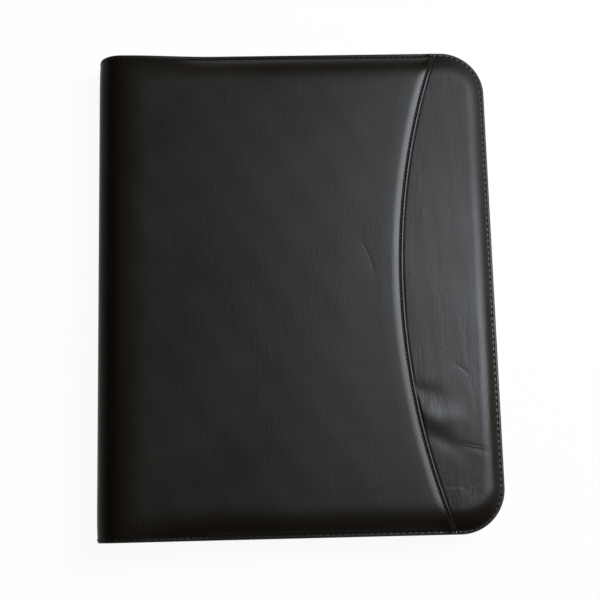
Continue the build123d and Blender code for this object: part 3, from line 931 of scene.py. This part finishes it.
def edge_foam():
    """Thin foam sheet under the fore-edge panel, a little thinner towards its sides."""
    y = np.linspace(-half_height + edge_end_gap, half_height - edge_end_gap, 60)
    left = seam_x(y) - edge_seam_gap
    right = fore_x - edge_fore_gap - corner_loss(y)
    share = np.linspace(0, 1, 20)[:, None]
    level = edge_foam_top - edge_foam_fall * (2 * share - 1) ** 8
    return on_board(stacked(left + share * (right - left), y, level))


def back_foam():
    """Foam of the back panel: crowned towards the leather, flat on its board."""
    y = np.linspace(-half_height + foam_inset, half_height - foam_inset, 90)
    left = quarter + spine_gap
    right = run_of(fore_x - foam_inset - corner_loss(y))
    run = left + np.linspace(0, 1, 110)[:, None] * (right - left)
    inset = edge_inset(flat_x(run), y)
    drop = flange_depth(run) * shoulder(inset, main_shoulder) + leather_skin
    return to_back(on_board(wrap(run, y, drop)))


main_pad = riding("front_cover", "front_foam_pad", main_foam(), foam_stock, "foam", "front_foam")
edge_pad = riding("front_cover", "fore_edge_foam_sheet", edge_foam(), foam_stock, "foam", "front_edge_foam")
back_pad = riding("back_cover", "back_foam_pad", back_foam(), foam_stock, "foam", "back_foam")


# Stitches
def copies(rings, places, axes):
    """One closed tube of rings, set down at each place along its own three axes."""
    points = places[:, None, None, :] + np.einsum("rck,nkd->nrcd", rings, axes)
    own, faces = tube_shape(rings)
    starts = range(0, len(places) * len(own), len(own))
    shifted = [[corner + start for corner in face] for start in starts for face in faces]
    return points.reshape(-1, 3), shifted


def stitch_shape(places, ahead, aside, length, radius):
    """Small arched beads, one at each place: a six-sided tube that dives into the leather at both ends."""
    along = np.array([-0.5, -0.4, 0.0, 0.4, 0.5]) * length
    size = np.array([0.45, 0.9, 1.0, 0.9, 0.45]) * radius
    lift = np.array([-0.9, -0.15, 0.1, -0.15, -0.9]) * radius
    turn = np.linspace(0, 2 * np.pi, 7)[:-1]
    across = size[:, None] * np.cos(turn)
    above = lift[:, None] + size[:, None] * np.sin(turn)
    rings = stacked(along[:, None], across, above)
    axes = np.stack([ahead, aside, np.cross(ahead, aside)], axis=1)
    return copies(rings[::-1], places, axes)


def unit(vectors):
    return vectors / np.linalg.norm(vectors, axis=-1, keepdims=True)


def square_to(vectors, line):
    """Unit vectors with what lies along a line's own unit vectors taken out."""
    return unit(vectors - line * np.sum(vectors * line, axis=-1, keepdims=True))


def cover_level(travel, inset, front):
    """Point of the leather's surface under the outline's stitch line."""
    run, y, heading = outline_place(outline_marks(travel, inset), inset)
    x = flat_x(run)
    if not front:
        return wrap(run, y, flange_depth(run) * shoulder(inset, main_shoulder))
    over_main = seam_reach(x, y) > 0
    main = wrap(run, y, front_drop(run, y, inset + 0 * run))
    edge = stacked(x, y, edge_height(x, y, inset + 0 * run))
    return np.where(over_main[:, None], main, edge)


def cover_stitches(front):
    """Stitches round a cover's flange, from one end of the spine to the other."""
    travel = np.arange(stitch_pitch / 2, outline_length(stitch_inset), stitch_pitch)
    step = 0.4

    def level(onward, inward):
        return cover_level(travel + onward * step, stitch_inset + inward * step, front)

    ahead = unit(level(1, 0) - level(-1, 0))
    inward = square_to(unit(level(0, 1) - level(0, -1)), ahead)
    shape = stitch_shape(level(0, 0), ahead, inward, stitch_length, stitch_radius)
    return shape if front else to_back(shape)


def seam_stitches():
    """Stitches down the groove beside the seam's lip."""
    reach = seam_radius + seam_stitch
    limit = np.arcsin((half_height - seam_end_gap) / reach)
    angle = np.arange(-limit, limit, seam_stitch_pitch / reach)
    run = run_of(seam_centre_x - reach * np.cos(angle))
    y = reach * np.sin(angle)
    step = 0.05

    def level(run, y):
        return wrap(run, y, front_drop(run, y, half_height - np.abs(y)))

    places = level(run, y)
    ahead = unit(level(run + step * np.sin(angle), y + step) - places)
    aside = square_to(stacked(-np.cos(angle), np.sin(angle), 0 * angle), ahead)
    return stitch_shape(places, ahead, aside, seam_stitch_length, seam_stitch_radius)


fold_front(dressed("front_edge_stitches", cover_stitches(True), thread, "leather"))
fold_back(dressed("back_edge_stitches", cover_stitches(False), thread, "leather"))
riding("front_cover", "seam_stitches", seam_stitches(), thread, "leather")


# Linings
def lining_line(turn, x, spread_out):
    """One line of the lining's section, on its inner face or spread out to the face against the boards.

    Up to the crease it is a quarter ellipse, then flat. At the folder's ends it flares to the leather's rim:
    there it is a quarter circle that comes down to the flat beside the crease.
    """
    flat_part = turn >= np.pi / 2
    middle_x = np.where(flat_part, x, lining_crease_x - (lining_half_wide + spread_out) * np.cos(turn))
    round_spine = middle + (lining_half_high + spread_out) * np.sin(turn)
    middle_z = np.where(flat_part, inner_face + spread_out, round_spine)
    rise = lining_end_rise * (1 - ease((x - crease_x) / rim_rise_length))
    end_x = np.where(flat_part, x, crease_x - (lining_end_radius + spread_out) * np.cos(turn))
    end_z = np.where(flat_part, inner_face + rise, middle + lining_end_radius * np.sin(turn))
    end_z = end_z + np.where(flat_part, spread_out, spread_out * np.sin(turn))
    return middle_x, middle_z, end_x, end_z


def lining_shape():
    """Lining of one cover with half of the spine: rows from spine to fore edge, columns up the page."""
    turn = np.concatenate([np.linspace(0, np.pi / 2, 40)[:-1], np.full(135, np.pi / 2)])[:, None]
    swing = np.linspace(0, np.pi / 2, 24)[1:]
    bend = corner_radius - board_inset
    corner_x = fore_x - corner_radius
    flat = [np.linspace(lining_crease_x, -100, 40), np.linspace(-98, corner_x, 72)]
    x = np.concatenate([np.full(39, lining_crease_x), *flat, corner_x + bend * np.sin(swing)])[:, None]
    corner = np.maximum(x - fore_x + corner_radius, 0)
    wide = corner_y + np.sqrt(np.maximum(bend**2 - corner**2, 0))
    wide = np.where(x < -104, wide + (lining_end_reach * (1 - ease((x + 110.5) / 4.5))), wide)
    y = wide * np.sin(np.linspace(-1, 1, 121) * np.pi / 2)
    begin = 15.0 - 7.6 * ease(turn / 1.4)
    flare = ease((begin - (half_height - np.abs(y))) / (begin - 1.0))
    layers = []
    for spread_out in (lining_thickness, 0.0):
        middle_x, middle_z, end_x, end_z = lining_line(turn, x, spread_out)
        px = middle_x + flare * (end_x - middle_x)
        pz = middle_z + flare * (end_z - middle_z)
        layers.append(stacked(px, y, pz))
    return slab_shape(*layers)


front_cloth = dressed("front_lining_cloth", lining_shape(), lining_cloth, "lining", "front_lining")
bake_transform(front_cloth)
shape = to_back(lining_shape())
back_cloth = dressed("back_lining_cloth", shape, lining_cloth, "lining", "back_lining", "spine_lining")
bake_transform(back_cloth)


# Zip
def carried(profile, travel):
    """A closed section of insets and levels carried along the zip line, with its map on the cloth."""
    marks = [value[:, None] for value in outline_marks(travel, zip_inset)]
    inset, level = profile.T
    run, y, heading = outline_place(marks, inset)
    points = stacked(flat_x(run), y, level)
    around = np.concatenate([[0], np.cumsum(np.hypot(*np.diff(profile, axis=0).T))])
    cloth = stacked(travel[:, None], around)
    return points, cloth


def tape_profile():
    """Section of a tape: sewn flange, a bend, and a wall down to the corded edge that the teeth grip."""
    bend = np.linspace(np.pi / 2, 0, 7)
    cord = np.linspace(0.0, -np.pi, 9)

    def arc(radius):
        return list(zip(5.35 + radius * np.cos(bend), 24.13 + radius * np.sin(bend)))

    outer = [(0.98, 25.78), (4.9, 25.78)] + arc(1.65) + [(7.0, 20.3)]
    edge = list(zip(zip_inset + cord_radius * np.cos(cord), 19.35 + cord_radius * np.sin(cord)))
    inner = [(6.3, 20.3)] + arc(0.95)[::-1] + [(4.9, 25.1), (0.98, 25.1)]
    return np.array(outer + edge + inner)


def tape_piece(name, node, front):
    """A zip tape round three sides; the front one also covers the split above the tail."""
    first = run_of(tail_start - (4.0 if front else 0.0))
    last = outline_length(zip_inset) - run_of(tape_end)
    points, cloth = carried(tape_profile()[::-1], np.linspace(first, last, 420))
    shape = tube_shape(points[::-1])
    details = (name, shape if front else to_back(shape), tape_cloth, "zip_tape", node)
    return riding("front_cover" if front else "back_cover", *details, sharp=soft_fold, uv=cloth[::-1])


front_tape = tape_piece("front_zip_tape", "zip_tape_front", True)
back_tape = tape_piece("back_zip_tape", "zip_tape_back", False)


def tooth_rings(up):
    """One tooth as five eight-sided rings: a broad foot on the tape's cord, a waist and a round head."""
    levels = np.array([-3.0, -2.7, -0.9, 0.5, 0.9])
    half_width = np.array([0.36, 0.55, 0.44, 0.55, 0.36])
    half_depth = np.array([0.95, 1.2, 1.0, 0.98, 0.7])
    turn = np.radians(np.array([18, 72, 108, 162, 198, 252, 288, 342]))
    along = half_width[:, None] * np.cos(turn) / np.cos(turn[0])
    across = half_depth[:, None] * np.sin(turn) / np.sin(turn[1])
    rings = stacked(along, across, levels[:, None] * up)
    return rings[::-1] if up > 0 else rings


def teeth_shape(travel, up):
    """A row of teeth square to the zip line, all made at once from one tooth's rings."""
    run, y, heading = outline_place(outline_marks(travel, zip_inset), zip_inset)
    ahead = stacked(np.cos(heading), np.sin(heading), 0.0)
    inward = stacked(-np.sin(heading), np.cos(heading), 0.0)
    upward = np.broadcast_to([0.0, 0.0, 1.0], ahead.shape)
    axes = np.stack([ahead, inward, upward], axis=1)
    return copies(tooth_rings(up), stacked(flat_x(run), y, middle), axes)


# The back cover's teeth stand up and the front cover's hang down, half a pitch further on
tooth_rows = (("back", 0.25, 1), ("front", 0.75, -1))
tail_rows = []
for side, part, up in tooth_rows:
    first = run_of(tail_start)
    row = teeth_shape(first + (part + np.arange(tooth_count)) * tooth_pitch, up)
    riding(f"{side}_cover", f"{side}_teeth", row, enamel, "zip_teeth", f"zip_teeth_{side}", sharp=hard_fold)
    tail_rows.append(teeth_shape(first + (np.arange(tail_count) - tail_count + part) * tooth_pitch, up))
riding("back_cover", "tail_teeth", joined(tail_rows), enamel, "zip_teeth", "zip_tail_teeth", sharp=hard_fold)


def tail_tape():
    """The tail's two tapes: upright strips with a corded edge by the teeth, the upper one cut short."""
    turn = np.linspace(0, np.pi, 9)
    edge = [(0.7 * np.cos(t), 3.1 + 0.6 * (1 - np.sin(t))) for t in turn]
    section = np.array([(0.33, 4.2), (0.33, 8.5), (0.0, 8.6), (-0.33, 8.5), (-0.33, 4.2)] + edge[::-1])
    shapes = []
    maps = []
    for up, end in ((-1, tail_start), (1, tail_start - 4.3)):
        x = np.linspace(tail_tip, end, 16)[:, None]
        y = zip_y + section[:, 0] * up
        points = stacked(x, y, middle + up * section[:, 1])
        shapes.append(tube_shape(points[::-1]))
        maps.append(stacked(x[::-1], section[:, 1]).reshape(-1, 2))
    return joined(shapes), np.concatenate(maps)


shape, cloth = tail_tape()
details = ("tail_tape", shape, tape_cloth, "zip_tape", "zip_tail_tape")
tail_cloth = riding("back_cover", *details, sharp=soft_fold, uv=cloth)


def end_tab():
    """Leather tab folded round the tail's end: a U-shaped section carried up, fuller at half height."""
    turn = np.linspace(np.pi / 2, 3 * np.pi / 2, 15)
    half = 1.5
    open_x, bend_x, inner_x = -116.5, -122.0, -120.55
    outer = [(open_x, 1.45), (-119.0, half)]
    outer += [(bend_x + half * np.cos(t), half * np.sin(t)) for t in turn]
    outer += [(-119.0, -half), (open_x, -1.45)]
    inner = [(open_x, -0.4), (inner_x, -0.4), (inner_x, 0.4), (open_x, 0.4)]
    section = np.array(outer + inner)
    share = np.array([-1.0, -0.98, -0.9, -0.5, 0.0, 0.5, 0.9, 0.98, 1.0])[:, None]
    shrink = 1 - 0.12 * np.abs(share) ** 24
    points = stacked(section[:, 0], zip_y + section[:, 1] * shrink, middle + 8.55 * share)
    return tube_shape(points[:, ::-1])


tab = riding("back_cover", "end_tab", end_tab(), cover_leather, "leather", "zip_end_tab", sharp=soft_fold)


# Sheets with rounded corners
def ring(corners, radii, inset, turns):
    """Outline of a convex sheet drawn in by inset: its corner arcs shrink on their own centres."""
    corners = np.asarray(corners, float)
    ahead = unit(np.roll(corners, -1, axis=0) - corners)
    inner = stacked(-ahead[:, 1], ahead[:, 0])
    before = np.roll(inner, 1, axis=0)
    cosine = np.sum(before * inner, axis=-1)
    reach = np.maximum(np.asarray(radii, float), inset)
    centre = corners + (reach / (1 + cosine))[:, None] * (before + inner)
    begin = np.arctan2(-before[:, 1], -before[:, 0])
    angle = begin[:, None] + np.arccos(np.clip(cosine, -1, 1))[:, None] * np.linspace(0, 1, turns)
    arc = stacked(np.cos(angle), np.sin(angle))
    return (centre[:, None] + (reach - inset)[:, None, None] * arc).reshape(-1, 2)


def panel(corners, radii, profile, turns=9):
    """Closed sheet: each inset and level of its profile, from upper face to lower, is one ring."""
    rings = []
    for inset, level in profile:
        outline = ring(corners, radii, inset, turns)
        rings.append(np.column_stack([outline, np.full(len(outline), level)]))
    return tube_shape(np.array(rings))


def soft_edge(low, high, radius=0.3):
    """Profile of a flat sheet with rounded edges, from its upper face to its lower."""
    radius = min(radius, (high - low) / 2)
    turn = np.linspace(0, np.pi / 2, 4)
    upper = list(zip(radius * (1 - np.sin(turn)), high - radius * (1 - np.cos(turn))))
    lower = list(zip(radius * (1 - np.cos(turn)), low + radius * (1 - np.sin(turn))))
    return [(4 * radius, high)] + upper + lower + [(4 * radius, low)]


def box_corners(x, y):
    return [(x[0], y[0]), (x[1], y[0]), (x[1], y[1]), (x[0], y[1])]


def panel_stitches(corners, radii, inset, level, up, pitch, below):
    """Stitches round a sheet on the line drawn in by inset, only below the line that its mouth sets."""
    path = ring(corners, radii, inset, 13)
    path = np.concatenate([path, path[:1]])
    steps = np.concatenate([[0], np.cumsum(np.hypot(*np.diff(path, axis=0).T))])
    travel = np.arange(pitch / 2, steps[-1] - pitch / 2, pitch)
    here = np.stack([np.interp(travel, steps, path[:, k]) for k in (0, 1)], axis=-1)
    later = np.stack([np.interp(travel + 0.3, steps, path[:, k]) for k in (0, 1)], axis=-1)
    keep = here[:, 1] < below(here[:, 0])
    flat = np.zeros((keep.sum(), 1))
    ahead = unit(np.hstack([(later - here)[keep], flat]))
    aside = np.cross([[0.0, 0.0, float(up)]], ahead)
    places = np.hstack([here[keep], flat + level])
    return stitch_shape(places, ahead, aside, pitch * 0.72, 0.3)


# Pockets inside the front cover; they face down, towards the pad
def mouth_y(x):
    """The document pocket's sloping mouth, from the spine side down to the fore edge."""
    slope = (mouth_right_y - mouth_left_y) / (pocket_right - pocket_left)
    return mouth_left_y + (x - pocket_left) * slope


pocket_corners = [(pocket_left, pocket_foot), (pocket_right, pocket_foot)]
pocket_corners += [(pocket_right, mouth_right_y), (pocket_left, mouth_left_y)]
pocket_radii = [4.0, 18.6, 1.0, 1.0]
shape = panel(pocket_corners, pocket_radii, soft_edge(pocket_under, pocket_under + 0.8))
details = ("document_pocket_leather", shape, pocket_hide, "pocket_leather", "document_pocket")
pocket_panel = riding("front_cover", *details, sharp=soft_fold)


def round_band(width, low, high):
    """Section of a flat band with round edges: places across it from nought, and levels."""
    half = (high - low) / 2
    turn = np.linspace(np.pi / 2, 3 * np.pi / 2, 7)
    section = [(half + half * np.cos(t), low + half + half * np.sin(t)) for t in turn]
    section += [(width - half - half * np.cos(t), low + half - half * np.sin(t)) for t in turn]
    return np.array(section)


def mouth_binding():
    """Grosgrain folded over the pocket's mouth: a flat band carried along the slope."""
    along = unit(np.array([pocket_right - pocket_left, mouth_right_y - mouth_left_y]))
    across, level = round_band(binding_width, pocket_under - 0.5, pocket_under).T
    travel = np.linspace(0.2, 238.8, 120)[:, None]
    x = pocket_left + along[0] * travel + along[1] * across
    y = mouth_left_y + along[1] * travel - along[0] * across
    return tube_shape(stacked(x, y, level)), stacked(travel, across)


shape, cloth = mouth_binding()
details = ("document_pocket_band", shape, bound_ribs, "binding", "document_pocket_binding")
pocket_band = riding("front_cover", *details, sharp=soft_fold, uv=cloth)


def sewn_below(corners, radii, inset, level, pitch, limit):
    """Stitches on a sheet of the front cover, which face down, as far up the page as a limit."""
    return panel_stitches(corners, radii, inset, level, -1, pitch, lambda x: 0 * x + limit)


pocket_line = (pocket_corners, pocket_radii, 1.8, pocket_under, -1, 3.2)
inside_stitches = [panel_stitches(*pocket_line, lambda x: mouth_y(x) - 8.0)]
sheet_radii = [sheet_corner] * 4
for place, top, low in (("rear", -41.2, 23.1), ("middle", -58.2, 22.3), ("front", -75.2, 21.5)):
    corners = box_corners((-93.5, 10.5), (slot_foot, top))
    shape = panel(corners, sheet_radii, soft_edge(low, low + 0.8))
    details = (f"{place}_card_slot", shape, pocket_hide, "pocket_leather", f"card_slot_{place}")
    riding("front_cover", *details, sharp=soft_fold)
    inside_stitches.append(sewn_below(corners, sheet_radii, 1.6, low, 3.0, top + 1))
window_corners = box_corners((20.5, 114.5), (slot_foot, -69.2))
shape = panel(window_corners, sheet_radii, soft_edge(pocket_under - 0.4, pocket_under, 0.15))
details = ("clear_id_window", shape, vinyl, "clear_vinyl", "id_window")
window_sheet = riding("front_cover", *details, sharp=soft_fold)
inside_stitches.append(sewn_below(window_corners, sheet_radii, 1.8, pocket_under - 0.4, 3.0, -72.0))
riding("front_cover", "pocket_stitches", joined(inside_stitches), thread, "pocket_leather")


# Writing pad and its sleeve on the back cover
def sleeve_shape():
    """Sleeve for the pad's backing: raised in its middle, sewn down along three sides, open at the top."""
    left, right = sleeve_x
    columns = [np.linspace(left, -103, 16), np.linspace(-102, 103.5, 60), np.linspace(104.5, right, 40)]
    x = np.concatenate(columns)[:, None]
    corner = np.maximum(x - fore_x + corner_radius, 0)
    foot = -corner_y - np.sqrt(22.2**2 - corner**2)
    share = np.concatenate([np.linspace(0, 0.05, 18), np.linspace(0.06, 1, 40)])
    y = foot + share * (sleeve_mouth - foot)
    side = np.minimum(np.minimum(x - left, right - x), y - foot)
    level = 7.85 + 0.95 * ease((side - 0.4) / 2.6)
    top = stacked(x, y, level)
    return slab_shape(top, top - (0, 0, 0.6))


details = ("pad_sleeve_leather", sleeve_shape(), pocket_hide, "pocket_leather", "pad_sleeve")
sleeve = riding("back_cover", *details, sharp=60)


def sleeve_binding():
    """Grosgrain over the sleeve's mouth: a flat band carried straight across the page."""
    across, level = round_band(binding_width, 8.8, 9.3).T
    travel = np.linspace(*sleeve_x, 120)[:, None]
    return tube_shape(stacked(travel, sleeve_mouth - across, level)), stacked(travel, sleeve_mouth - across)


shape, cloth = sleeve_binding()
details = ("pad_sleeve_band", shape, bound_ribs, "binding", "pad_sleeve_binding")
sleeve_band = riding("back_cover", *details, sharp=soft_fold, uv=cloth)

sleeve_corners = box_corners(sleeve_x, (pocket_foot, sleeve_mouth))
sleeve_line = (sleeve_corners, [1.0, 19.5, 1.0, 1.0], 1.0, 7.98, 1, 3.2)
sleeve_sewing = panel_stitches(*sleeve_line, lambda x: 0 * x - 45.0)
riding("back_cover", "sleeve_stitches", sleeve_sewing, thread, "pocket_leather")


def pad_shape():
    """The pad's sheets: a thick block whose pages shift a little against each other down the stack."""
    corners = box_corners(pad_x, (-139.5, 139.4))
    levels = np.linspace(pad_top, pad_low, 26)
    shift = 0.12 * (1 + np.sin(levels * 7.3)) * np.abs(np.sin(levels * 2.1))
    profile = [(1.0, pad_top)] + list(zip(shift, levels)) + [(1.0, pad_low)]
    return panel(corners, [0.4] * 4, profile, turns=3)


riding("back_cover", "pad_ruled_sheets", pad_shape(), ruled_paper, "paper", "pad_sheets", sharp=hard_fold)


def pad_tape():
    """Binding tape over the pad's head: one section, down its end and back over the top sheet."""
    turn = np.linspace(0, np.pi / 2, 6)

    def bend(radius):
        return [(139.1 + radius * np.cos(t), 14.0 + radius * np.sin(t)) for t in turn]

    outer = [(139.9, 7.3)] + bend(0.8) + [(127.7, 14.8)]
    inner = [(127.5, 14.6), (127.6, 14.42)] + bend(0.41)[::-1] + [(139.52, 7.3)]
    y, z = np.array(outer + inner).T
    x = np.linspace(*pad_x, 60)[:, None]
    return tube_shape(stacked(x, y, z)[::-1])


details = ("pad_head_tape", pad_tape(), pad_cloth, "pad_tape", "pad_binding")
head_tape = riding("back_cover", *details, sharp=hard_fold)


def pen_loop():
    """Elastic pen loop: a flat band with round edges carried round a ring, over a short sewn-down base."""
    turn = np.linspace(0, 2 * np.pi, 57)[:, None]
    edge = np.linspace(-np.pi / 2, np.pi / 2, 7)
    half_wide = 11.0 - loop_half
    section = [(half_wide + loop_half * np.cos(t), loop_half * np.sin(t)) for t in edge]
    section += [(-half_wide - loop_half * np.cos(t), -loop_half * np.sin(t)) for t in edge]
    across, out = np.array(section).T
    radius = loop_radius + out
    points = stacked(-108.95 + radius * np.sin(turn), -20 + across, 14.1 - radius * np.cos(turn))
    points[-1] = points[0]
    cloth = stacked(turn * loop_radius, across)
    base = panel(box_corners((-113.7, -104.2), (-31.0, -9.0)), [0.8] * 4, soft_edge(7.2, 8.0), turns=5)
    shape = joined([grid_shape(points, loop=True), base])
    return shape, np.concatenate([cloth.reshape(-1, 2), base[0][:, :2]])


shape, cloth = pen_loop()
details = ("elastic_pen_loop", shape, elastic_ribs, "binding", "pen_loop")
loop = riding("back_cover", *details, sharp=soft_fold, weld=True, uv=cloth)

# Hard nodes that stay as they are
for finish, names in (
    (greyboard, ("front_board", "back_board", "spine_stiffener")),
    (pad_card, ("pad_backing_board",)),
    (black_nickel, ("zip_slider", "zip_pull", "zip_stop_back", "zip_stop_front")),
):
    for name in names:
        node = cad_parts[name]
        node.data.materials.clear()
        node.data.materials.append(finish)


# Floor, light and camera
def floor_finish():
    """White paper sweep that keeps soft shadows; what camera and reflections see of it is near white."""
    paper = Finish("white_sweep", Roughness=0.9, Specular_IOR_Level=0.1)
    paper.drive("Base Color", paper.noise(40.0, 3.0).tones(0.3, (0.90,) * 3, 0.7, (0.93,) * 3))
    kinds = ("Is Camera Ray", "Is Transmission Ray", "Is Glossy Ray")
    camera_ray, clear_ray, glossy_ray = (paper.add("LightPath", {}, output=kind) for kind in kinds)
    lifted = camera_ray.math("MAXIMUM", clear_ray).math("MAXIMUM", glossy_ray) * 0.94
    white = paper.add("Emission", {}, (1, 1, 1, 1), 1.0)
    mixed = paper.add("MixShader", {}, lifted, Wire(paper, paper.main.outputs[0]), white)
    paper.tree.links.new(mixed.socket, paper.tree.nodes["Material Output"].inputs["Surface"])
    return paper.material


def sweep_shape(reach, height, sides):
    """A round floor with a low wall far off: one ring of points on the floor and the same ring raised."""
    turn = np.linspace(0, 2 * np.pi, sides + 1)[:-1]
    level = np.array([[0.0], [height]])
    rings = stacked(reach * np.cos(turn), reach * np.sin(turn), level)
    points, walls = grid_shape(rings, loop=True)
    return points, walls + [list(range(sides))]


sweep_reach = 18000.0
sweep_height = 4700.0
floor = piece("floor", sweep_shape(sweep_reach, sweep_height, 48), floor_finish(), smooth=False)


def softbox(name, place, aim, size, power):
    """A rectangular lamp at a place, turned to face a point; metres and watts."""
    data = bpy.data.lights.new(name, "AREA")
    data.shape = "RECTANGLE"
    data.size, data.size_y = size
    data.energy = power
    data.color = (0.88, 0.945, 1.04)
    lamp = bpy.data.objects.new(name, data)
    back = unit(np.array(place, float) - np.array(aim, float))
    side = unit(np.cross([0.0, 1.0, 0.0], back))
    turn = stacked(side, np.cross(back, side), back)
    lamp.matrix_world = Matrix.Translation(place) @ Matrix(turn.tolist()).to_4x4()
    bpy.context.scene.collection.objects.link(lamp)


softbox("key_softbox", (0.74, 0.36, 1.2), (0.03, 0, 0.03), (0.8, 0.7), 25.0)
world = bpy.data.worlds.new("studio")
world.use_nodes = True
sky = world.node_tree.nodes["Background"].inputs
sky["Color"].default_value = (1.0, 0.94, 0.86, 1)
sky["Strength"].default_value = 0.055
bpy.context.scene.world = world

camera_data = bpy.data.cameras.new("photo_camera")
camera_data.lens = 72.0
camera_data.sensor_width = 36.0
camera = bpy.data.objects.new("photo_camera", camera_data)
tilt = Matrix.Rotation(np.radians(-10.436), 3, "X")
lean = Matrix.Rotation(np.radians(1.611), 3, "Y")
roll = Matrix.Rotation(np.radians(1.098), 3, "Z")
view_turn = (roll @ lean @ tilt).transposed()
camera.matrix_world = Matrix.Translation((-0.0202, -0.1538, 0.8169)) @ view_turn.to_4x4()
bpy.context.scene.collection.objects.link(camera)
bpy.context.scene.camera = camera
bpy.context.scene.view_settings.view_transform = "Standard"
